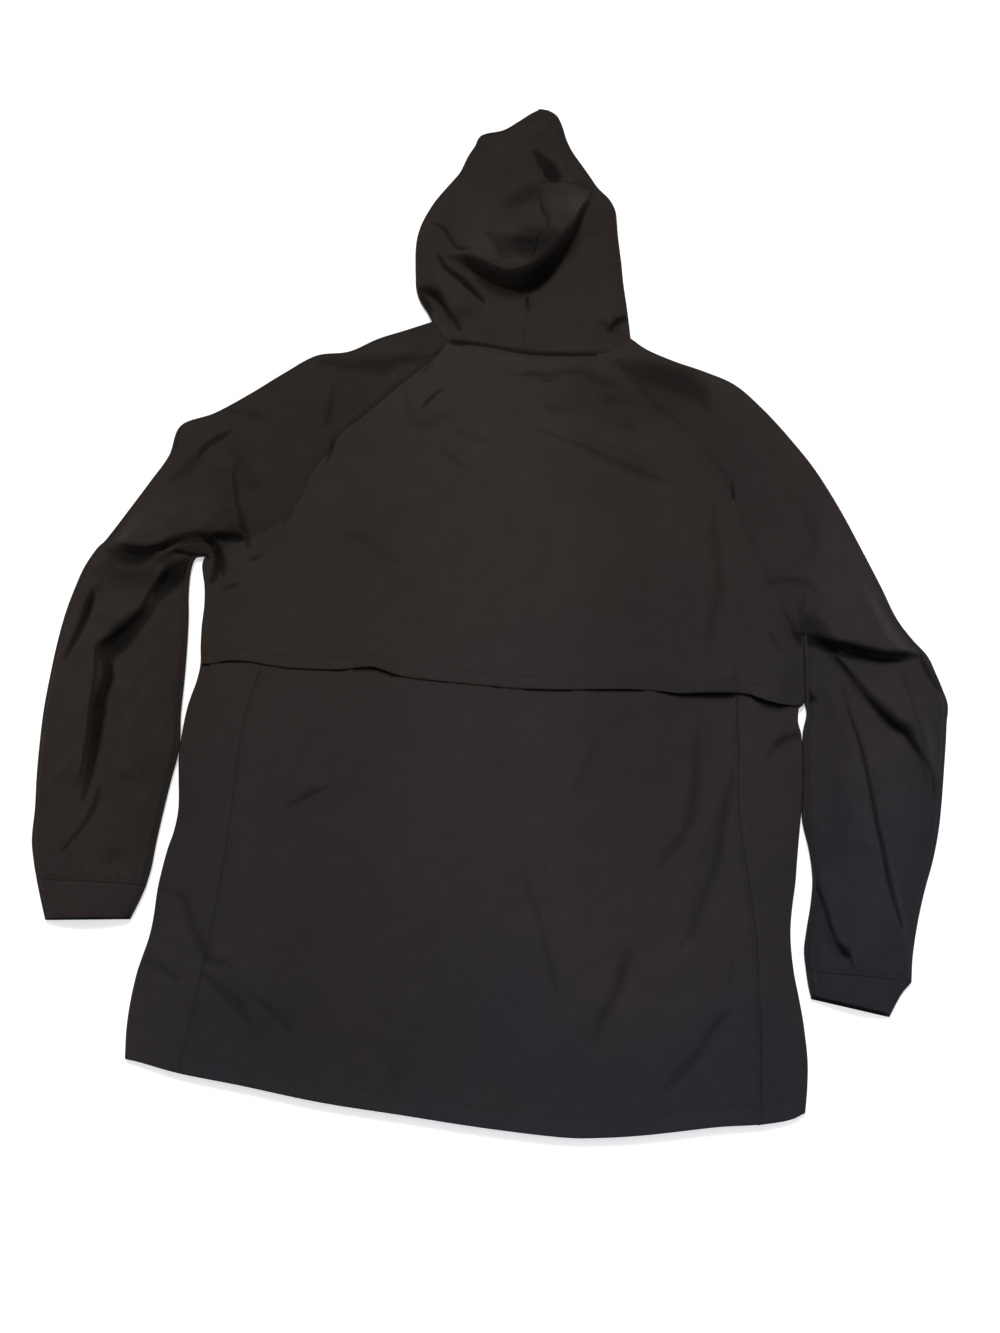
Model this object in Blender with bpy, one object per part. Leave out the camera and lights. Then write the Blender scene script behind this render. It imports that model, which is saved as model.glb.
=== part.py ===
"""A hooded windbreaker laid out flat on its front, with its back up.

Origin on the floor in the middle of the garment, +Y toward the hood, +X toward
the right sleeve as it lies, +Z up. Sizes below are in millimetres. Every piece of
cloth is one wall that is bent over the same height of the laid garment.
"""
import math

import bmesh
import bpy
import numpy as np

MM = 0.001

# ---- cloth -------------------------------------------------------------------
WALL = 1.2            # thickness of the cloth
GAP = 0.3             # between two pieces at a seam
FOLD = 3.0            # outer radius where a layer turns over at the sides
MIDDLE = 3.0          # height of the side seams, half way up the fold
PUFF = 14.0           # air between the layers far from an edge
REACH = 45.0          # how far in from an edge the cloth takes to rise
FADE = 14.0           # folds die out over this width at the outline
HEM_RISE = 110.0      # the air thins out over this length above the hem
HEM_AIR = 0.45        # share of the air that is left at the hem
STEEPEST = 2.2        # most that a steep wall is thickened, measured upright
LOWEST = 5.6          # the back layer never comes lower than this

# ---- cape over the vented back ----------------------------------------------------
CAPE_STEP = 2.4       # how far the free edge of the cape stands off the panel below
CAPE_RAMP = 70.0      # length over which it comes away
UNDERLAP = 48.0       # the lower back runs up this far below the cape
UNDER_DROP = 3.0      # and drops by this much at its top
UNDER_INSET = 4.5     # there it stays inside the side folds

# ---- zip --------------------------------------------------------------------------
ZIP_X = 0.0
ZIP_TOP, ZIP_BOTTOM = 166.0, -494.0
TAPE_HALF, TAPE_THICK = 14.0, 0.8
CHAIN_HALF, CHAIN_LOW = 2.8, 0.3
FRONT_EDGE = 4.2      # front panels stop this far from the middle of the zip
SLIDER_HALF, SLIDER_LONG, SLIDER_TALL = 3.6, 11.0, 4.0

# ---- grids -------------------------------------------------------------------
CAPE_COLUMNS = 8      # from the middle to a raglan seam
FRONT_COLUMNS = 4
SLEEVE_COLUMNS = 6    # on top
FLOOR_COLUMNS = 2     # on the floor
HOOD_ROUND = 2        # from a raglan seam to the side fold at the neck
LOWER_ROWS = 19
ARM_STEP = 0.5        # rows of the forearms lie at half steps of their tables

# Left sleeve from neck to cuff: outer fold x, y; back seam x, y; front seam x, y.
# From the underarm on, back and front seams are the one underarm seam.
SLEEVE_LEFT = np.array([
    (-97, 272, -78, 250, -62, 226),
    (-122, 261, -92, 230, -80, 209),
    (-150, 249, -112, 208, -100, 189),
    (-178, 233, -134, 185, -121, 168),
    (-210, 226, -155, 162, -141, 147),
    (-240, 205, -173, 143, -160, 127),
    (-272, 180, -187, 120, -177, 106),
    (-305, 157, -199, 98, -191, 85),
    (-337, 141, -207, 74, -205, 64),
    (-345, 109, -220, 52, -221, 46),
    (-360, 81, -241, 35, -241, 31),
    (-378, 49, -269, 20, -269, 18),
    (-396, 18, -297.5, 9, -297.5, 9),
    (-403, 7, -306, 6, -306, 6),
    (-412, -13, -309, -8, -309, -8),
    (-418, -36, -308.5, -30, -308.5, -30),
    (-423, -61, -307, -56, -307, -56),
    (-428, -92, -305.5, -86, -305.5, -86),
    (-431, -125, -304, -118, -304, -118),
    (-433, -157, -302.5, -150, -302.5, -150),
    (-432.5, -190, -301.5, -182, -301.5, -182),
    (-431.5, -222, -303.5, -215, -303.5, -215),
    (-430, -252, -307.5, -248, -307.5, -248),
    (-427, -280, -311.5, -278, -311.5, -278),
    (-423, -302, -315.5, -299, -315.5, -299),
    (-418, -320, -319.5, -317, -319.5, -317),
], float)

# Right sleeve, the same columns.
SLEEVE_RIGHT = np.array([
    (104, 271, 86, 254, 66, 228),
    (122, 260, 100, 233, 84, 211),
    (150, 250, 118, 213, 104, 191),
    (181, 241.5, 139, 195, 125, 170),
    (212, 230, 160, 176, 147, 149),
    (241, 207, 182, 155, 168, 128),
    (269, 179, 200, 136, 187, 107),
    (296, 148, 213, 114, 204, 85),
    (322, 110, 223, 87, 220, 62),
    (345, 71, 235, 60, 235, 40),
    (366, 34, 249, 33, 251, 20),
    (382, 4, 270, 6, 272, -1),
    (398, -16, 293.5, -22, 293.5, -22),
    (414, -32, 297, -31, 297, -31),
    (424, -49, 297.5, -45, 297.5, -45),
    (430, -63, 297.5, -60, 297.5, -60),
    (433, -80, 298.5, -77, 298.5, -77),
    (433.2, -97, 299.5, -97, 299.5, -97),
    (433, -116, 299.5, -118, 299.5, -118),
    (432, -142, 300.5, -144, 300.5, -144),
    (431, -170, 301.5, -172, 301.5, -172),
    (429, -200, 303.5, -202, 303.5, -202),
    (425, -230, 308.5, -231, 308.5, -231),
    (420, -258, 313, -257, 313, -257),
    (415, -285, 312.5, -281, 312.5, -281),
    (411, -308, 310, -304, 310, -304),
    (409, -327, 309, -325, 309, -325),
    (405, -344, 312, -344, 312, -344),
], float)
UNDERARM = 12         # the row of both tables that lies at the underarm

# Cuffs: outer fold x, y; underarm seam x, y.
CUFF_LEFT = np.array([(-418, -320.3, -319.5, -317.3), (-412, -337, -324, -332),
                      (-406, -353.5, -328, -346)], float)
CUFF_RIGHT = np.array([(405, -344.3, 312, -344.3), (398, -358, 314, -356),
                       (388, -377.5, 316.5, -367)], float)

# Body below the underarms: height y, side folds at x left and x right.
BODY = np.array([
    (9, -297.5, 293), (0, -297.5, 293), (-10, -295, 293), (-22, -292.5, 293),
    (-40, -292, 294), (-60, -292, 293.5), (-80, -291, 291.5), (-98, -289, 290),
    (-112, -290, 291), (-130, -294, 295), (-146, -297, 298), (-172, -299, 299.5),
    (-190, -299.3, 299.8), (-210, -297, 299), (-240, -293.5, 298), (-262, -295, 297.5),
    (-280, -299, 296), (-300, -302, 295), (-320, -304, 296), (-345, -304.5, 300),
    (-365, -306.5, 305), (-385, -311, 310), (-400, -314, 313), (-425, -316.5, 317),
    (-450, -317, 318), (-478, -315, 317),
], float)

HEM = np.array([      # x, y along the back hem
    (-316, -477), (-300, -479), (-262, -486), (-205, -492), (-130, -501), (-55, -506),
    (19, -511), (93, -513.5), (130, -511), (166, -506), (203, -499), (239, -492),
    (276, -487), (303, -481), (318, -473),
], float)
FRONT_HEM_LIFT = 14.0  # the front is this much shorter in the middle

CAPE_EDGE = np.array([  # x, y along the free lower edge of the cape
    (-291, -98), (-265, -95), (-250, -93), (-225, -95), (-200, -96), (-175, -95),
    (-150, -93), (-120, -89), (-100, -95), (-80, -96), (-50, -97), (0, -97.5),
    (30, -98), (50, -97), (80, -94), (110, -90), (140, -89), (180, -90), (200, -86),
    (220, -83), (235, -84), (258, -92), (275, -92), (292, -91),
], float)
CAPE_LIFTS = np.array([  # x, lift, half width of each place where the edge gapes
    (-122, 3.6, 22), (-245, 1.2, 20), (35, 1.2, 26), (120, 1.4, 26), (214, 3.6, 20),
    (264, 2.6, 13),
], float)

NECK = np.array([     # x, y along the seam of the hood at the back of the neck
    (-78, 250), (-50, 248.5), (-20, 246.5), (0, 246.5), (30, 248), (60, 250.5), (86, 254),
], float)
NECK_DIP = 9.0        # how far the front neckline sags below a straight line
CHIN = 178.0

SIDE_SEAM_LEFT = np.array([  # y, x of the seam beside the lower back
    (-480, -263), (-440, -257), (-400, -252), (-340, -246), (-290, -243), (-230, -241),
    (-165, -240), (-130, -235), (-98, -228), (-30, -220),
], float)
SIDE_SEAM_RIGHT = np.array([
    (-480, 277), (-440, 274), (-410, 272), (-370, 268), (-320, 263), (-290, 257),
    (-255, 250), (-225, 243), (-190, 238), (-150, 236), (-100, 232), (-30, 226),
], float)

# Hood from neck to crown: centre seam x, y; left fold x, y; right fold x, y;
# left face edge x, y; right face edge x, y; how far the layers have closed.
HOOD = np.array([
    (-1, 246.5, -97, 272, 104, 271, -4.2, 178, 4.2, 178, 0),
    (-2, 258, -104, 283, 102.5, 280, -14, 193, 14, 193, 0),
    (-2, 272, -112, 294, 100.5, 291, -24, 213, 24, 213, 0),
    (-3, 288, -116.5, 306, 98, 304, -33, 238, 33, 238, 0),
    (-3, 303, -118.5, 321, 95, 318, -40, 263, 40, 263, 0),
    (-4, 316, -120, 335, 92, 333, -45, 290, 44, 290, 0),
    (-4, 328, -121, 349, 89.5, 349, -48, 314, 45, 314, 0),
    (-3, 342, -120.5, 363, 86.5, 365, -50, 339, 45, 339, 0),
    (0, 358, -117.5, 377, 83.5, 381, -50, 362, 44, 362, 0),
    (3, 374, -112, 391, 81.5, 395, -46, 385, 41, 385, 0),
    (4, 390, -106, 403, 79, 408, -39, 404, 35, 404, 0),
    (3, 405, -99, 414, 72, 420, -28, 420, 26, 421, 0),
    (1, 420, -90, 427, 60, 431, -14, 431, 15, 432, 0),
    (-1, 434, -83, 438, 50, 444, -1.15, 434, -0.85, 434, 0),
    (-3, 448, -77, 455, 40, 457, -3.15, 448, -2.85, 448, 0),
    (-4, 462, -71, 467, 30, 470, -4.15, 462, -3.85, 462, 0),
    (-5, 476, -65, 480, 23, 483, -5.15, 476, -4.85, 476, 0),
    (-5, 489, -44, 487, 19, 494, -5.15, 489, -4.85, 489, 0),
    (-5, 500, -28, 499, 15, 503, -5.15, 500, -4.85, 500, 0.3),
    (-5, 508.5, -18, 507, 10, 508.5, -5.15, 508.5, -4.85, 508.5, 0.75),
    (-5, 513.2, -11, 511.5, 4, 512.0, -5.15, 513.2, -4.85, 513.2, 1),
], float)

# The larger folds of the laid cloth: height (minus for a trough), width on the left and
# on the right of its path, length of its fading ends, and the path's points x, y.
FOLDS = [
    # left sleeve: the upper arm lies over the forearm, then the forearm's long folds
    (13.0, 36, 5.0, 12, (-401, 12), (-372, 13), (-350, 9), (-332, 19), (-312, 27), (-290, 32),
     (-266, 31)),
    (-4.5, 9, 11, 10, (-396, 0), (-372, -2), (-352, -5)),
    (7.5, 7, 20, 18, (-314, -4), (-330, -14), (-341, -34), (-352, -60), (-370, -88),
     (-377, -112), (-383, -150), (-382, -190), (-388, -240)),
    (-4.5, 8, 8, 14, (-394, -26), (-404, -60), (-412, -90), (-423, -110)),
    (-4.0, 8, 9, 14, (-371, -228), (-375, -252), (-387, -276), (-405, -302)),
    (4.0, 8, 15, 14, (-281, 110), (-276, 80), (-268, 52), (-257, 22)),
    (-3.5, 12, 12, 16, (-348, 98), (-320, 112), (-300, 128), (-282, 138)),
    (-4.0, 10, 10, 20, (-206, 221), (-160, 215), (-126, 221), (-92, 238)),
    # right sleeve, likewise
    (13.0, 38, 5.0, 12, (282, -15), (300, -16), (322, -19), (345, -23), (372, -26),
     (404, -26), (420, -33)),
    (-4.5, 8, 13, 10, (296, -31), (326, -38), (360, -43), (402, -42)),
    (8.0, 24, 7, 14, (316, -33), (334, -50), (350, -72), (378, -98), (397, -112),
     (414, -137), (424, -168)),
    (5.5, 7, 22, 24, (322, -60), (333, -92), (350, -132), (362, -170), (374, -215),
     (386, -255), (394, -285), (408, -330)),
    (4.5, 12, 7, 9, (311, -256), (320, -276), (330, -300), (336, -316), (353, -332)),
    (-4.0, 16, 16, 20, (120, 234), (165, 222), (204, 210)),
    # cape
    (4.5, 16, 10, 18, (50, 162), (88, 147), (118, 138), (152, 120)),
    (3.4, 26, 12, 20, (203, 80), (202, 0), (203, -88)),
    # lower back
    (-4.0, 12, 12, 14, (-300, -317), (-282, -323), (-272, -342), (-262, -372),
     (-250, -390), (-224, -385)),
    (-3.2, 14, 14, 16, (-246, -396), (-225, -415), (-195, -425), (-163, -449)),
    (-3.8, 13, 13, 14, (150, -338), (140, -370), (131, -395), (116, -430)),
    (-4.0, 13, 13, 18, (236, -158), (224, -205), (221, -250), (211, -280), (189, -345)),
    (4.0, 16, 16, 20, (206, -225), (196, -290), (180, -335)),
    (-3.4, 13, 13, 16, (243, -338), (236, -390), (215, -430), (180, -462)),
    # hood: the crown stands over the neck panel, with a hollow under its edge
    (28.0, 58, 4.5, 26, (-90, 341), (-66, 338), (-45, 327), (-24, 317), (-8, 320), (4, 331),
     (16, 346), (29, 364), (41, 385), (51, 412), (60, 433)),
    (-5.0, 7, 8, 14, (-62, 329), (-40, 314), (-20, 307), (2, 313), (22, 337), (40, 374)),
    (-4.0, 7, 7, 10, (-100, 347), (-86, 329), (-65, 313), (-44, 295)),
    (7.0, 28, 5, 8, (-120, 306), (-105, 305), (-92, 296), (-82, 286), (-75, 272), (-67, 260)),
    (5.0, 14, 5, 6, (82, 274), (90, 285), (104, 291)),
    (6.0, 6, 18, 8, (0, 418), (22, 420), (50, 425)),
    (-5.0, 8, 8, 8, (-11, 453), (5, 440), (18, 427)),
    (4.0, 20, 20, 20, (-72, 432), (-52, 400), (-30, 378)),
]


# ---- the height of the laid garment ----------------------------------------------
def smooth(value):
    t = np.clip(value, 0.0, 1.0)
    return t * t * (3.0 - 2.0 * t)


def along(table, key, value):
    """A column of a table with its first column as the key, in rising order."""
    order = np.argsort(table[:, 0])
    return np.interp(key, table[order, 0], table[order, value])


def to_path(points, x, y):
    """Distance to a path, on which side of it, and how far along it the nearest place is."""
    path = np.asarray(points, float)
    best = np.full(np.shape(x), 1e9)
    side = np.zeros(np.shape(x))
    where = np.zeros(np.shape(x))
    gone = 0.0
    for (ax, ay), (bx, by) in zip(path[:-1], path[1:]):
        dx, dy = bx - ax, by - ay
        length = math.hypot(dx, dy)
        t = np.clip(((x - ax) * dx + (y - ay) * dy) / length ** 2, 0.0, 1.0)
        away = np.hypot(x - ax - t * dx, y - ay - t * dy)
        nearer = away < best
        best = np.where(nearer, away, best)
        side = np.where(nearer, (y - ay) * dx - (x - ax) * dy, side)
        where = np.where(nearer, gone + t * length, where)
        gone += length
    return best, side, where, gone


def outlines():
    """The folded edges of the garment, where its layers come together."""
    left_in = np.vstack([CUFF_LEFT[::-1, 2:4], SLEEVE_LEFT[:UNDERARM:-1, 2:4],
                         [(-299.5, 9.5)], BODY[:, (1, 0)]])
    right_in = np.vstack([CUFF_RIGHT[::-1, 2:4], SLEEVE_RIGHT[:UNDERARM:-1, 2:4],
                          [(295.3, -24)], BODY[3:, (2, 0)]])
    left_out = np.vstack([SLEEVE_LEFT[:, 0:2], CUFF_LEFT[:, 0:2]])
    right_out = np.vstack([SLEEVE_RIGHT[:, 0:2], CUFF_RIGHT[:, 0:2]])
    hood = np.vstack([HOOD[:, 2:4], [(-5, 513.7)], HOOD[::-1, 4:6]])
    return [left_out, left_in, hood, right_in, right_out]


OUTLINES = outlines()


def plain_height(x, y):
    """The back layer over the laid garment, without the step of the cape."""
    x, y = np.asarray(x, float), np.asarray(y, float)
    edge = np.full(x.shape, 1e9)
    for line in OUTLINES:
        edge = np.minimum(edge, to_path(line, x, y)[0])
    turn = np.clip(FOLD - edge, 0.0, FOLD)
    rounded = MIDDLE + np.sqrt(FOLD ** 2 - turn ** 2)
    air = HEM_AIR + (1 - HEM_AIR) * smooth((y - along(HEM, x, 1)) / HEM_RISE)
    rise = PUFF * air * (1.0 - np.exp(-np.maximum(edge - FOLD, 0.0) / REACH))
    relief = np.zeros(x.shape)
    for height, wide_left, wide_right, fading, *path in FOLDS:
        away, side, where, length = to_path(path, x, y)
        width = np.where(side > 0, wide_left, wide_right)
        ends = smooth(np.minimum(where, length - where) / fading)
        relief += height * ends * np.exp(-(away / width) ** 2)
    raised = rounded + rise + relief * smooth((edge - FOLD) / FADE)
    return np.where(edge < FOLD, rounded, np.maximum(raised, LOWEST))


def cape_step(x, y):
    """How far the cape stands off the panel under it."""
    x, y = np.asarray(x, float), np.asarray(y, float)
    off = CAPE_STEP * np.ones(x.shape)
    for centre, lift, half in CAPE_LIFTS:
        off += lift * np.exp(-((x - centre) / half) ** 2)
    near = smooth(1.0 - (y - along(CAPE_EDGE, x, 1)) / CAPE_RAMP)
    return off * near * near


def cape_height(x, y):
    return plain_height(x, y) + cape_step(x, y)


def lower_height(x, y):
    """The lower back, which sinks a little where it runs up under the cape."""
    under = (np.asarray(y, float) - along(CAPE_EDGE, x, 1)) / UNDERLAP
    return plain_height(x, y) - UNDER_DROP * smooth(under)


def floor_height(x, y):
    """The front layer, flat on the floor but for its turned-up edges."""
    x, y = np.asarray(x, float), np.asarray(y, float)
    edge = np.full(x.shape, 1e9)
    for line in OUTLINES:
        edge = np.minimum(edge, to_path(line, x, y)[0])
    turn = np.clip(FOLD - edge, 0.0, FOLD)
    return MIDDLE - np.sqrt(FOLD ** 2 - turn ** 2)


def upright_wall(surface, x, y):
    """The wall's thickness measured upright, so that a slope keeps its thickness."""
    step = 0.5
    sx = (surface(x + step, y) - surface(x - step, y)) / (2 * step)
    sy = (surface(x, y + step) - surface(x, y - step)) / (2 * step)
    return WALL * np.minimum(np.sqrt(1.0 + sx ** 2 + sy ** 2), STEEPEST)


# ---- building cloth --------------------------------------------------------------
def row_of(table, place):
    """A row of a table at a place between its rows, on a smooth curve through them."""
    low = int(min(max(math.floor(place), 0), len(table) - 2))
    t = place - low
    if t < 1e-9:
        return table[low].copy()
    b, c = table[low], table[low + 1]
    a = table[low - 1] if low > 0 else 2 * b - c
    d = table[low + 2] if low + 2 < len(table) else 2 * c - b
    return 0.5 * (2 * b + (c - a) * t + (2 * a - 5 * b + 4 * c - d) * t ** 2
                  + (3 * b - a - 3 * c + d) * t ** 3)


def unit(vector):
    return np.asarray(vector, float) / max(np.linalg.norm(vector), 1e-9)


def upper(points, surface):
    """Outer and inner points of a back layer over plan points."""
    plan = np.asarray(points, float)
    x, y = plan[:, 0], plan[:, 1]
    top = surface(x, y)
    under = top - upright_wall(surface, x, y)
    return np.column_stack([x, y, top]), np.column_stack([x, y, under])


def lower(points):
    """Outer and inner points of the front layer over plan points."""
    plan = np.asarray(points, float)
    x, y = plan[:, 0], plan[:, 1]
    low = floor_height(x, y)
    return np.column_stack([x, y, low]), np.column_stack([x, y, low + WALL])


def turned(corner, inward, angles, radius=FOLD):
    """Outer and inner points round a fold whose outermost line passes a corner.

    Angles run from -90 (on the floor) over 0 (outermost) to 90 (on top).
    """
    outer, inner = [], []
    for angle in angles:
        c, s = math.cos(math.radians(angle)), math.sin(math.radians(angle))
        small = radius - WALL
        gap = 0.5 * GAP * np.sign(angle) if abs(angle) < 1.0 else 0.0
        outer.append((*(corner + inward * radius * (1 - c)), MIDDLE + radius * s + gap))
        inner.append((*(corner + inward * (radius - small * c)), MIDDLE + small * s + gap))
    return np.array(outer), np.array(inner)


def between(start, end, count):
    """Plan points between two places, without both ends."""
    t = np.linspace(0.0, 1.0, count + 2)[1:-1, None]
    return start + (end - start) * t


def cloth(name, rows, colour, roughness=0.62):
    """One closed wall from rows of outer and inner points."""
    outer = np.array([row[0] for row in rows])
    inner = np.array([row[1] for row in rows])
    long, wide = outer.shape[:2]
    bm = bmesh.new()
    bmesh.ops.create_grid(bm, x_segments=wide - 1, y_segments=long - 1, size=1.0)
    slots = {}
    for v in bm.verts:
        i = round((v.co.y + 1.0) / 2.0 * (long - 1))
        j = round((v.co.x + 1.0) / 2.0 * (wide - 1))
        slots[v] = (i, j)
    kept = list(bm.verts)
    grown = bmesh.ops.extrude_face_region(bm, geom=bm.faces[:], use_keep_orig=True)
    for item in grown["geom"]:
        if isinstance(item, bmesh.types.BMVert):
            i = round((item.co.y + 1.0) / 2.0 * (long - 1))
            j = round((item.co.x + 1.0) / 2.0 * (wide - 1))
            item.co = inner[i, j] * MM
    for v in kept:
        v.co = outer[slots[v]] * MM
    bmesh.ops.recalc_face_normals(bm, faces=bm.faces[:])
    if bm.calc_volume(signed=True) < 0:
        bmesh.ops.reverse_faces(bm, faces=bm.faces[:])
    return finish(name, bm, colour, roughness)


def finish(name, bm, colour, roughness):
    mesh = bpy.data.meshes.new(name)
    bm.to_mesh(mesh)
    bm.free()
    material = bpy.data.materials.new(name + "_cloth")
    material.use_nodes = True
    shader = material.node_tree.nodes["Principled BSDF"]
    shader.inputs["Base Color"].default_value = (*colour, 1.0)
    shader.inputs["Roughness"].default_value = roughness
    mesh.materials.append(material)
    piece = bpy.data.objects.new(name, mesh)
    jacket.objects.link(piece)
    return piece


for old in list(bpy.data.objects):
    bpy.data.objects.remove(old)
jacket = bpy.data.collections.new("windbreaker")
bpy.context.scene.collection.children.link(jacket)

NYLON = (0.034, 0.028, 0.025)
NYLON_LOW = (0.030, 0.026, 0.026)


# ---- sleeves and cuffs -----------------------------------------------------------
def seam_side(table, place, column, body):
    """Unit vector across a seam at a row of a sleeve, away from the body's middle."""
    first = row_of(table, max(place - 0.25, 0.0))[column:column + 2]
    last = row_of(table, min(place + 0.25, UNDERARM))[column:column + 2]
    run = unit(last - first)
    return np.array([run[1], -run[0]]) if body < 0 else np.array([-run[1], run[0]])


def edge_up(place, inward, folded):
    """The edge of a back layer: turned down at a side fold, or cut at a seam."""
    if folded:
        return turned(place, inward, (0.5, 45, 90))
    plan = np.array([place, place + inward * 0.9, place + inward * FOLD])
    return upper(plan, cape_height)


def edge_down(place, inward, folded):
    if folded:
        return turned(place, inward, (-0.5, -45, -90))
    return lower(np.array([place, place + inward * 0.9, place + inward * FOLD]))


def round_row(out, back, front, folded):
    """One row of a sleeve: front seam, floor, outer fold, top, back seam."""
    to_back, to_front = unit(back - out), unit(front - out)
    low_edge = edge_down(front, -to_front, folded)
    flat = lower(between(front - to_front * FOLD, out + to_front * FOLD, FLOOR_COLUMNS))
    under = turned(out, to_front, (-90, -45))
    over = turned(out, to_back, (0, 45, 90))
    top = upper(between(out + to_back * FOLD, back - to_back * FOLD, SLEEVE_COLUMNS),
                cape_height)
    top_edge = edge_up(back, -to_back, folded)
    parts = [low_edge, flat, under, over, top, (top_edge[0][::-1], top_edge[1][::-1])]
    return [np.vstack([part[k] for part in parts]) for k in (0, 1)]


def sleeve(name, table, body):
    places = list(range(UNDERARM)) + list(np.arange(UNDERARM, len(table) - 1 + 1e-6, ARM_STEP))
    rows = []
    for place in places:
        row = row_of(table, place)
        back, front = row[2:4], row[4:6]
        folded = place >= UNDERARM
        if place <= UNDERARM:
            back = back + seam_side(table, place, 2, body) * GAP / 2
            front = front + seam_side(table, place, 4, body) * GAP / 2
        rows.append(round_row(row[0:2], back, front, folded))
    return cloth(name, rows, NYLON)


def cuff(name, table):
    rows = []
    for place in np.arange(0, len(table) - 1 + 1e-6, 0.5):
        row = row_of(table, place)
        rows.append(round_row(row[0:2], row[2:4], row[2:4], True))
    return cloth(name, rows, NYLON_LOW)


sleeve("sleeve_left", SLEEVE_LEFT, -1)
sleeve("sleeve_right", SLEEVE_RIGHT, 1)
cuff("cuff_left", CUFF_LEFT)
cuff("cuff_right", CUFF_RIGHT)


# ---- body: cape, lower back, side panels, fronts ------------------------------------
def raglan(place, column, body):
    table = SLEEVE_LEFT if body < 0 else SLEEVE_RIGHT
    point = row_of(table, place)[column:column + 2]
    return point - seam_side(table, place, column, body) * GAP / 2


CAPE_TAIL = [         # below the underarm: share of the way to the cape's lower edge
    0.22, 0.42, 0.62, 0.8, 0.92, 1.0]


def cape_row(place):
    """Both ends of a row of the cape and how much it follows the neck and the edge."""
    if place <= UNDERARM:
        left, right = raglan(place, 2, -1), raglan(place, 2, 1)
        return left, right, smooth(1 - place / 4.0), 0.0, place == UNDERARM
    share = CAPE_TAIL[int(place) - UNDERARM - 1]
    ends = []
    for column, start in ((1, 9.0), (2, -22.0)):
        x_low = BODY[7, column]
        y_low = along(CAPE_EDGE, x_low, 1)
        y = start + (y_low - start) * share
        ends.append(np.array([along(BODY, y, column), y]))
    return ends[0], ends[1], 0.0, share ** 2, True


def cape():
    rows = []
    middle = np.array([-1.0, 0.0])
    for place in range(UNDERARM + 1 + len(CAPE_TAIL)):
        left, right, neck, edge, folded = cape_row(place)
        middle[1] = (left[1] + right[1]) / 2
        centre = middle.copy()
        halves = []
        for end in (left, right):
            inward = unit(centre - end)
            plan = np.vstack([end + inward * FOLD,
                              between(end + inward * FOLD, centre, CAPE_COLUMNS - 1)])
            halves.append(plan)
        plan = np.vstack([halves[0], [centre], halves[1][::-1]])
        straight = np.interp(plan[:, 0], [left[0], right[0]], [left[1], right[1]])
        neck_line = along(NECK, plan[:, 0], 1)
        neck_ends = np.interp(plan[:, 0], NECK[[0, -1], 0], NECK[[0, -1], 1])
        edge_line = along(CAPE_EDGE, plan[:, 0], 1)
        plan[:, 1] = (straight + neck * (neck_line - neck_ends)
                      + edge * (edge_line - straight))
        body = upper(plan, cape_height)
        first = edge_up(left, unit(plan[0] - left), folded)
        last = edge_up(right, unit(plan[-1] - right), folded)
        rows.append([np.vstack([first[k][:2], body[k], last[k][:2][::-1]]) for k in (0, 1)])
    return cloth("back_yoke", rows, NYLON)


cape()


def lower_rows():
    """Shares of the way from the cape's edge to the hem, and whether the sides turn."""
    under = [(-UNDERLAP / 392.0, False), (-0.06, False), (-0.004, False), (0.022, True)]
    rest = [(0.022 + (1 - 0.022) * k / (LOWER_ROWS - 4), True) for k in range(1, LOWER_ROWS - 3)]
    return under + rest


def lower_line(share, x):
    """The y of a row of the lower back at x."""
    top, hem = along(CAPE_EDGE, x, 1), along(HEM, x, 1)
    return top + (hem - top) * share


def side_point(share, column):
    x = BODY[12, column]
    for _ in range(4):
        y = lower_line(share, x)
        x = along(BODY, y, column)
    return np.array([x, y])


def seam_point(share, table, shift):
    x = table[0, 1]
    for _ in range(4):
        y = lower_line(share, x)
        x = along(table, y, 1)
    return np.array([x + shift, y])


def lower_strip(name, left, right, columns):
    """A panel of the lower back; an end is a side fold or a seam, per row."""
    rows = []
    for share, folded in lower_rows():
        ends = []
        for kind, column, table, shift in (left, right):
            if kind == "side":
                ends.append(side_point(share, column))
            else:
                ends.append(seam_point(share, table, shift))
        inward = unit(ends[1] - ends[0])
        starts, plans = [], []
        for end, toward, spec in ((ends[0], inward, left), (ends[1], -inward, right)):
            is_side = spec[0] == "side"
            if is_side and folded:
                starts.append(turned(end, toward, (0.5, 45)))
                plans.append(end + toward * FOLD)
            elif is_side:
                inset = end + toward * UNDER_INSET
                pair = np.array([inset, inset + toward])
                starts.append(upper(pair, lower_height))
                plans.append(inset + toward * 2.5)
            else:
                starts.append(None)
                plans.append(end)
        plan = np.vstack([[plans[0]], between(plans[0], plans[1], columns - 1), [plans[1]]])
        fixed = np.interp(plan[:, 0], [plans[0][0], plans[1][0]],
                          [plans[0][1] - lower_line(share, plans[0][0]),
                           plans[1][1] - lower_line(share, plans[1][0])])
        plan[:, 1] = lower_line(share, plan[:, 0]) + fixed
        body = upper(plan, lower_height)
        stack = []
        for k in (0, 1):
            parts = [body[k]]
            if starts[0] is not None:
                parts.insert(0, starts[0][k])
            if starts[1] is not None:
                parts.append(starts[1][k][::-1])
            stack.append(np.vstack(parts))
        rows.append(stack)
    return cloth(name, rows, NYLON_LOW)


half = GAP / 2
lower_strip("side_panel_left", ("side", 1, None, 0), ("seam", 0, SIDE_SEAM_LEFT, -half), 4)
lower_strip("back_lower", ("seam", 0, SIDE_SEAM_LEFT, half),
            ("seam", 0, SIDE_SEAM_RIGHT, -half), 15)
lower_strip("side_panel_right", ("seam", 0, SIDE_SEAM_RIGHT, half), ("side", 2, None, 0), 4)

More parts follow.
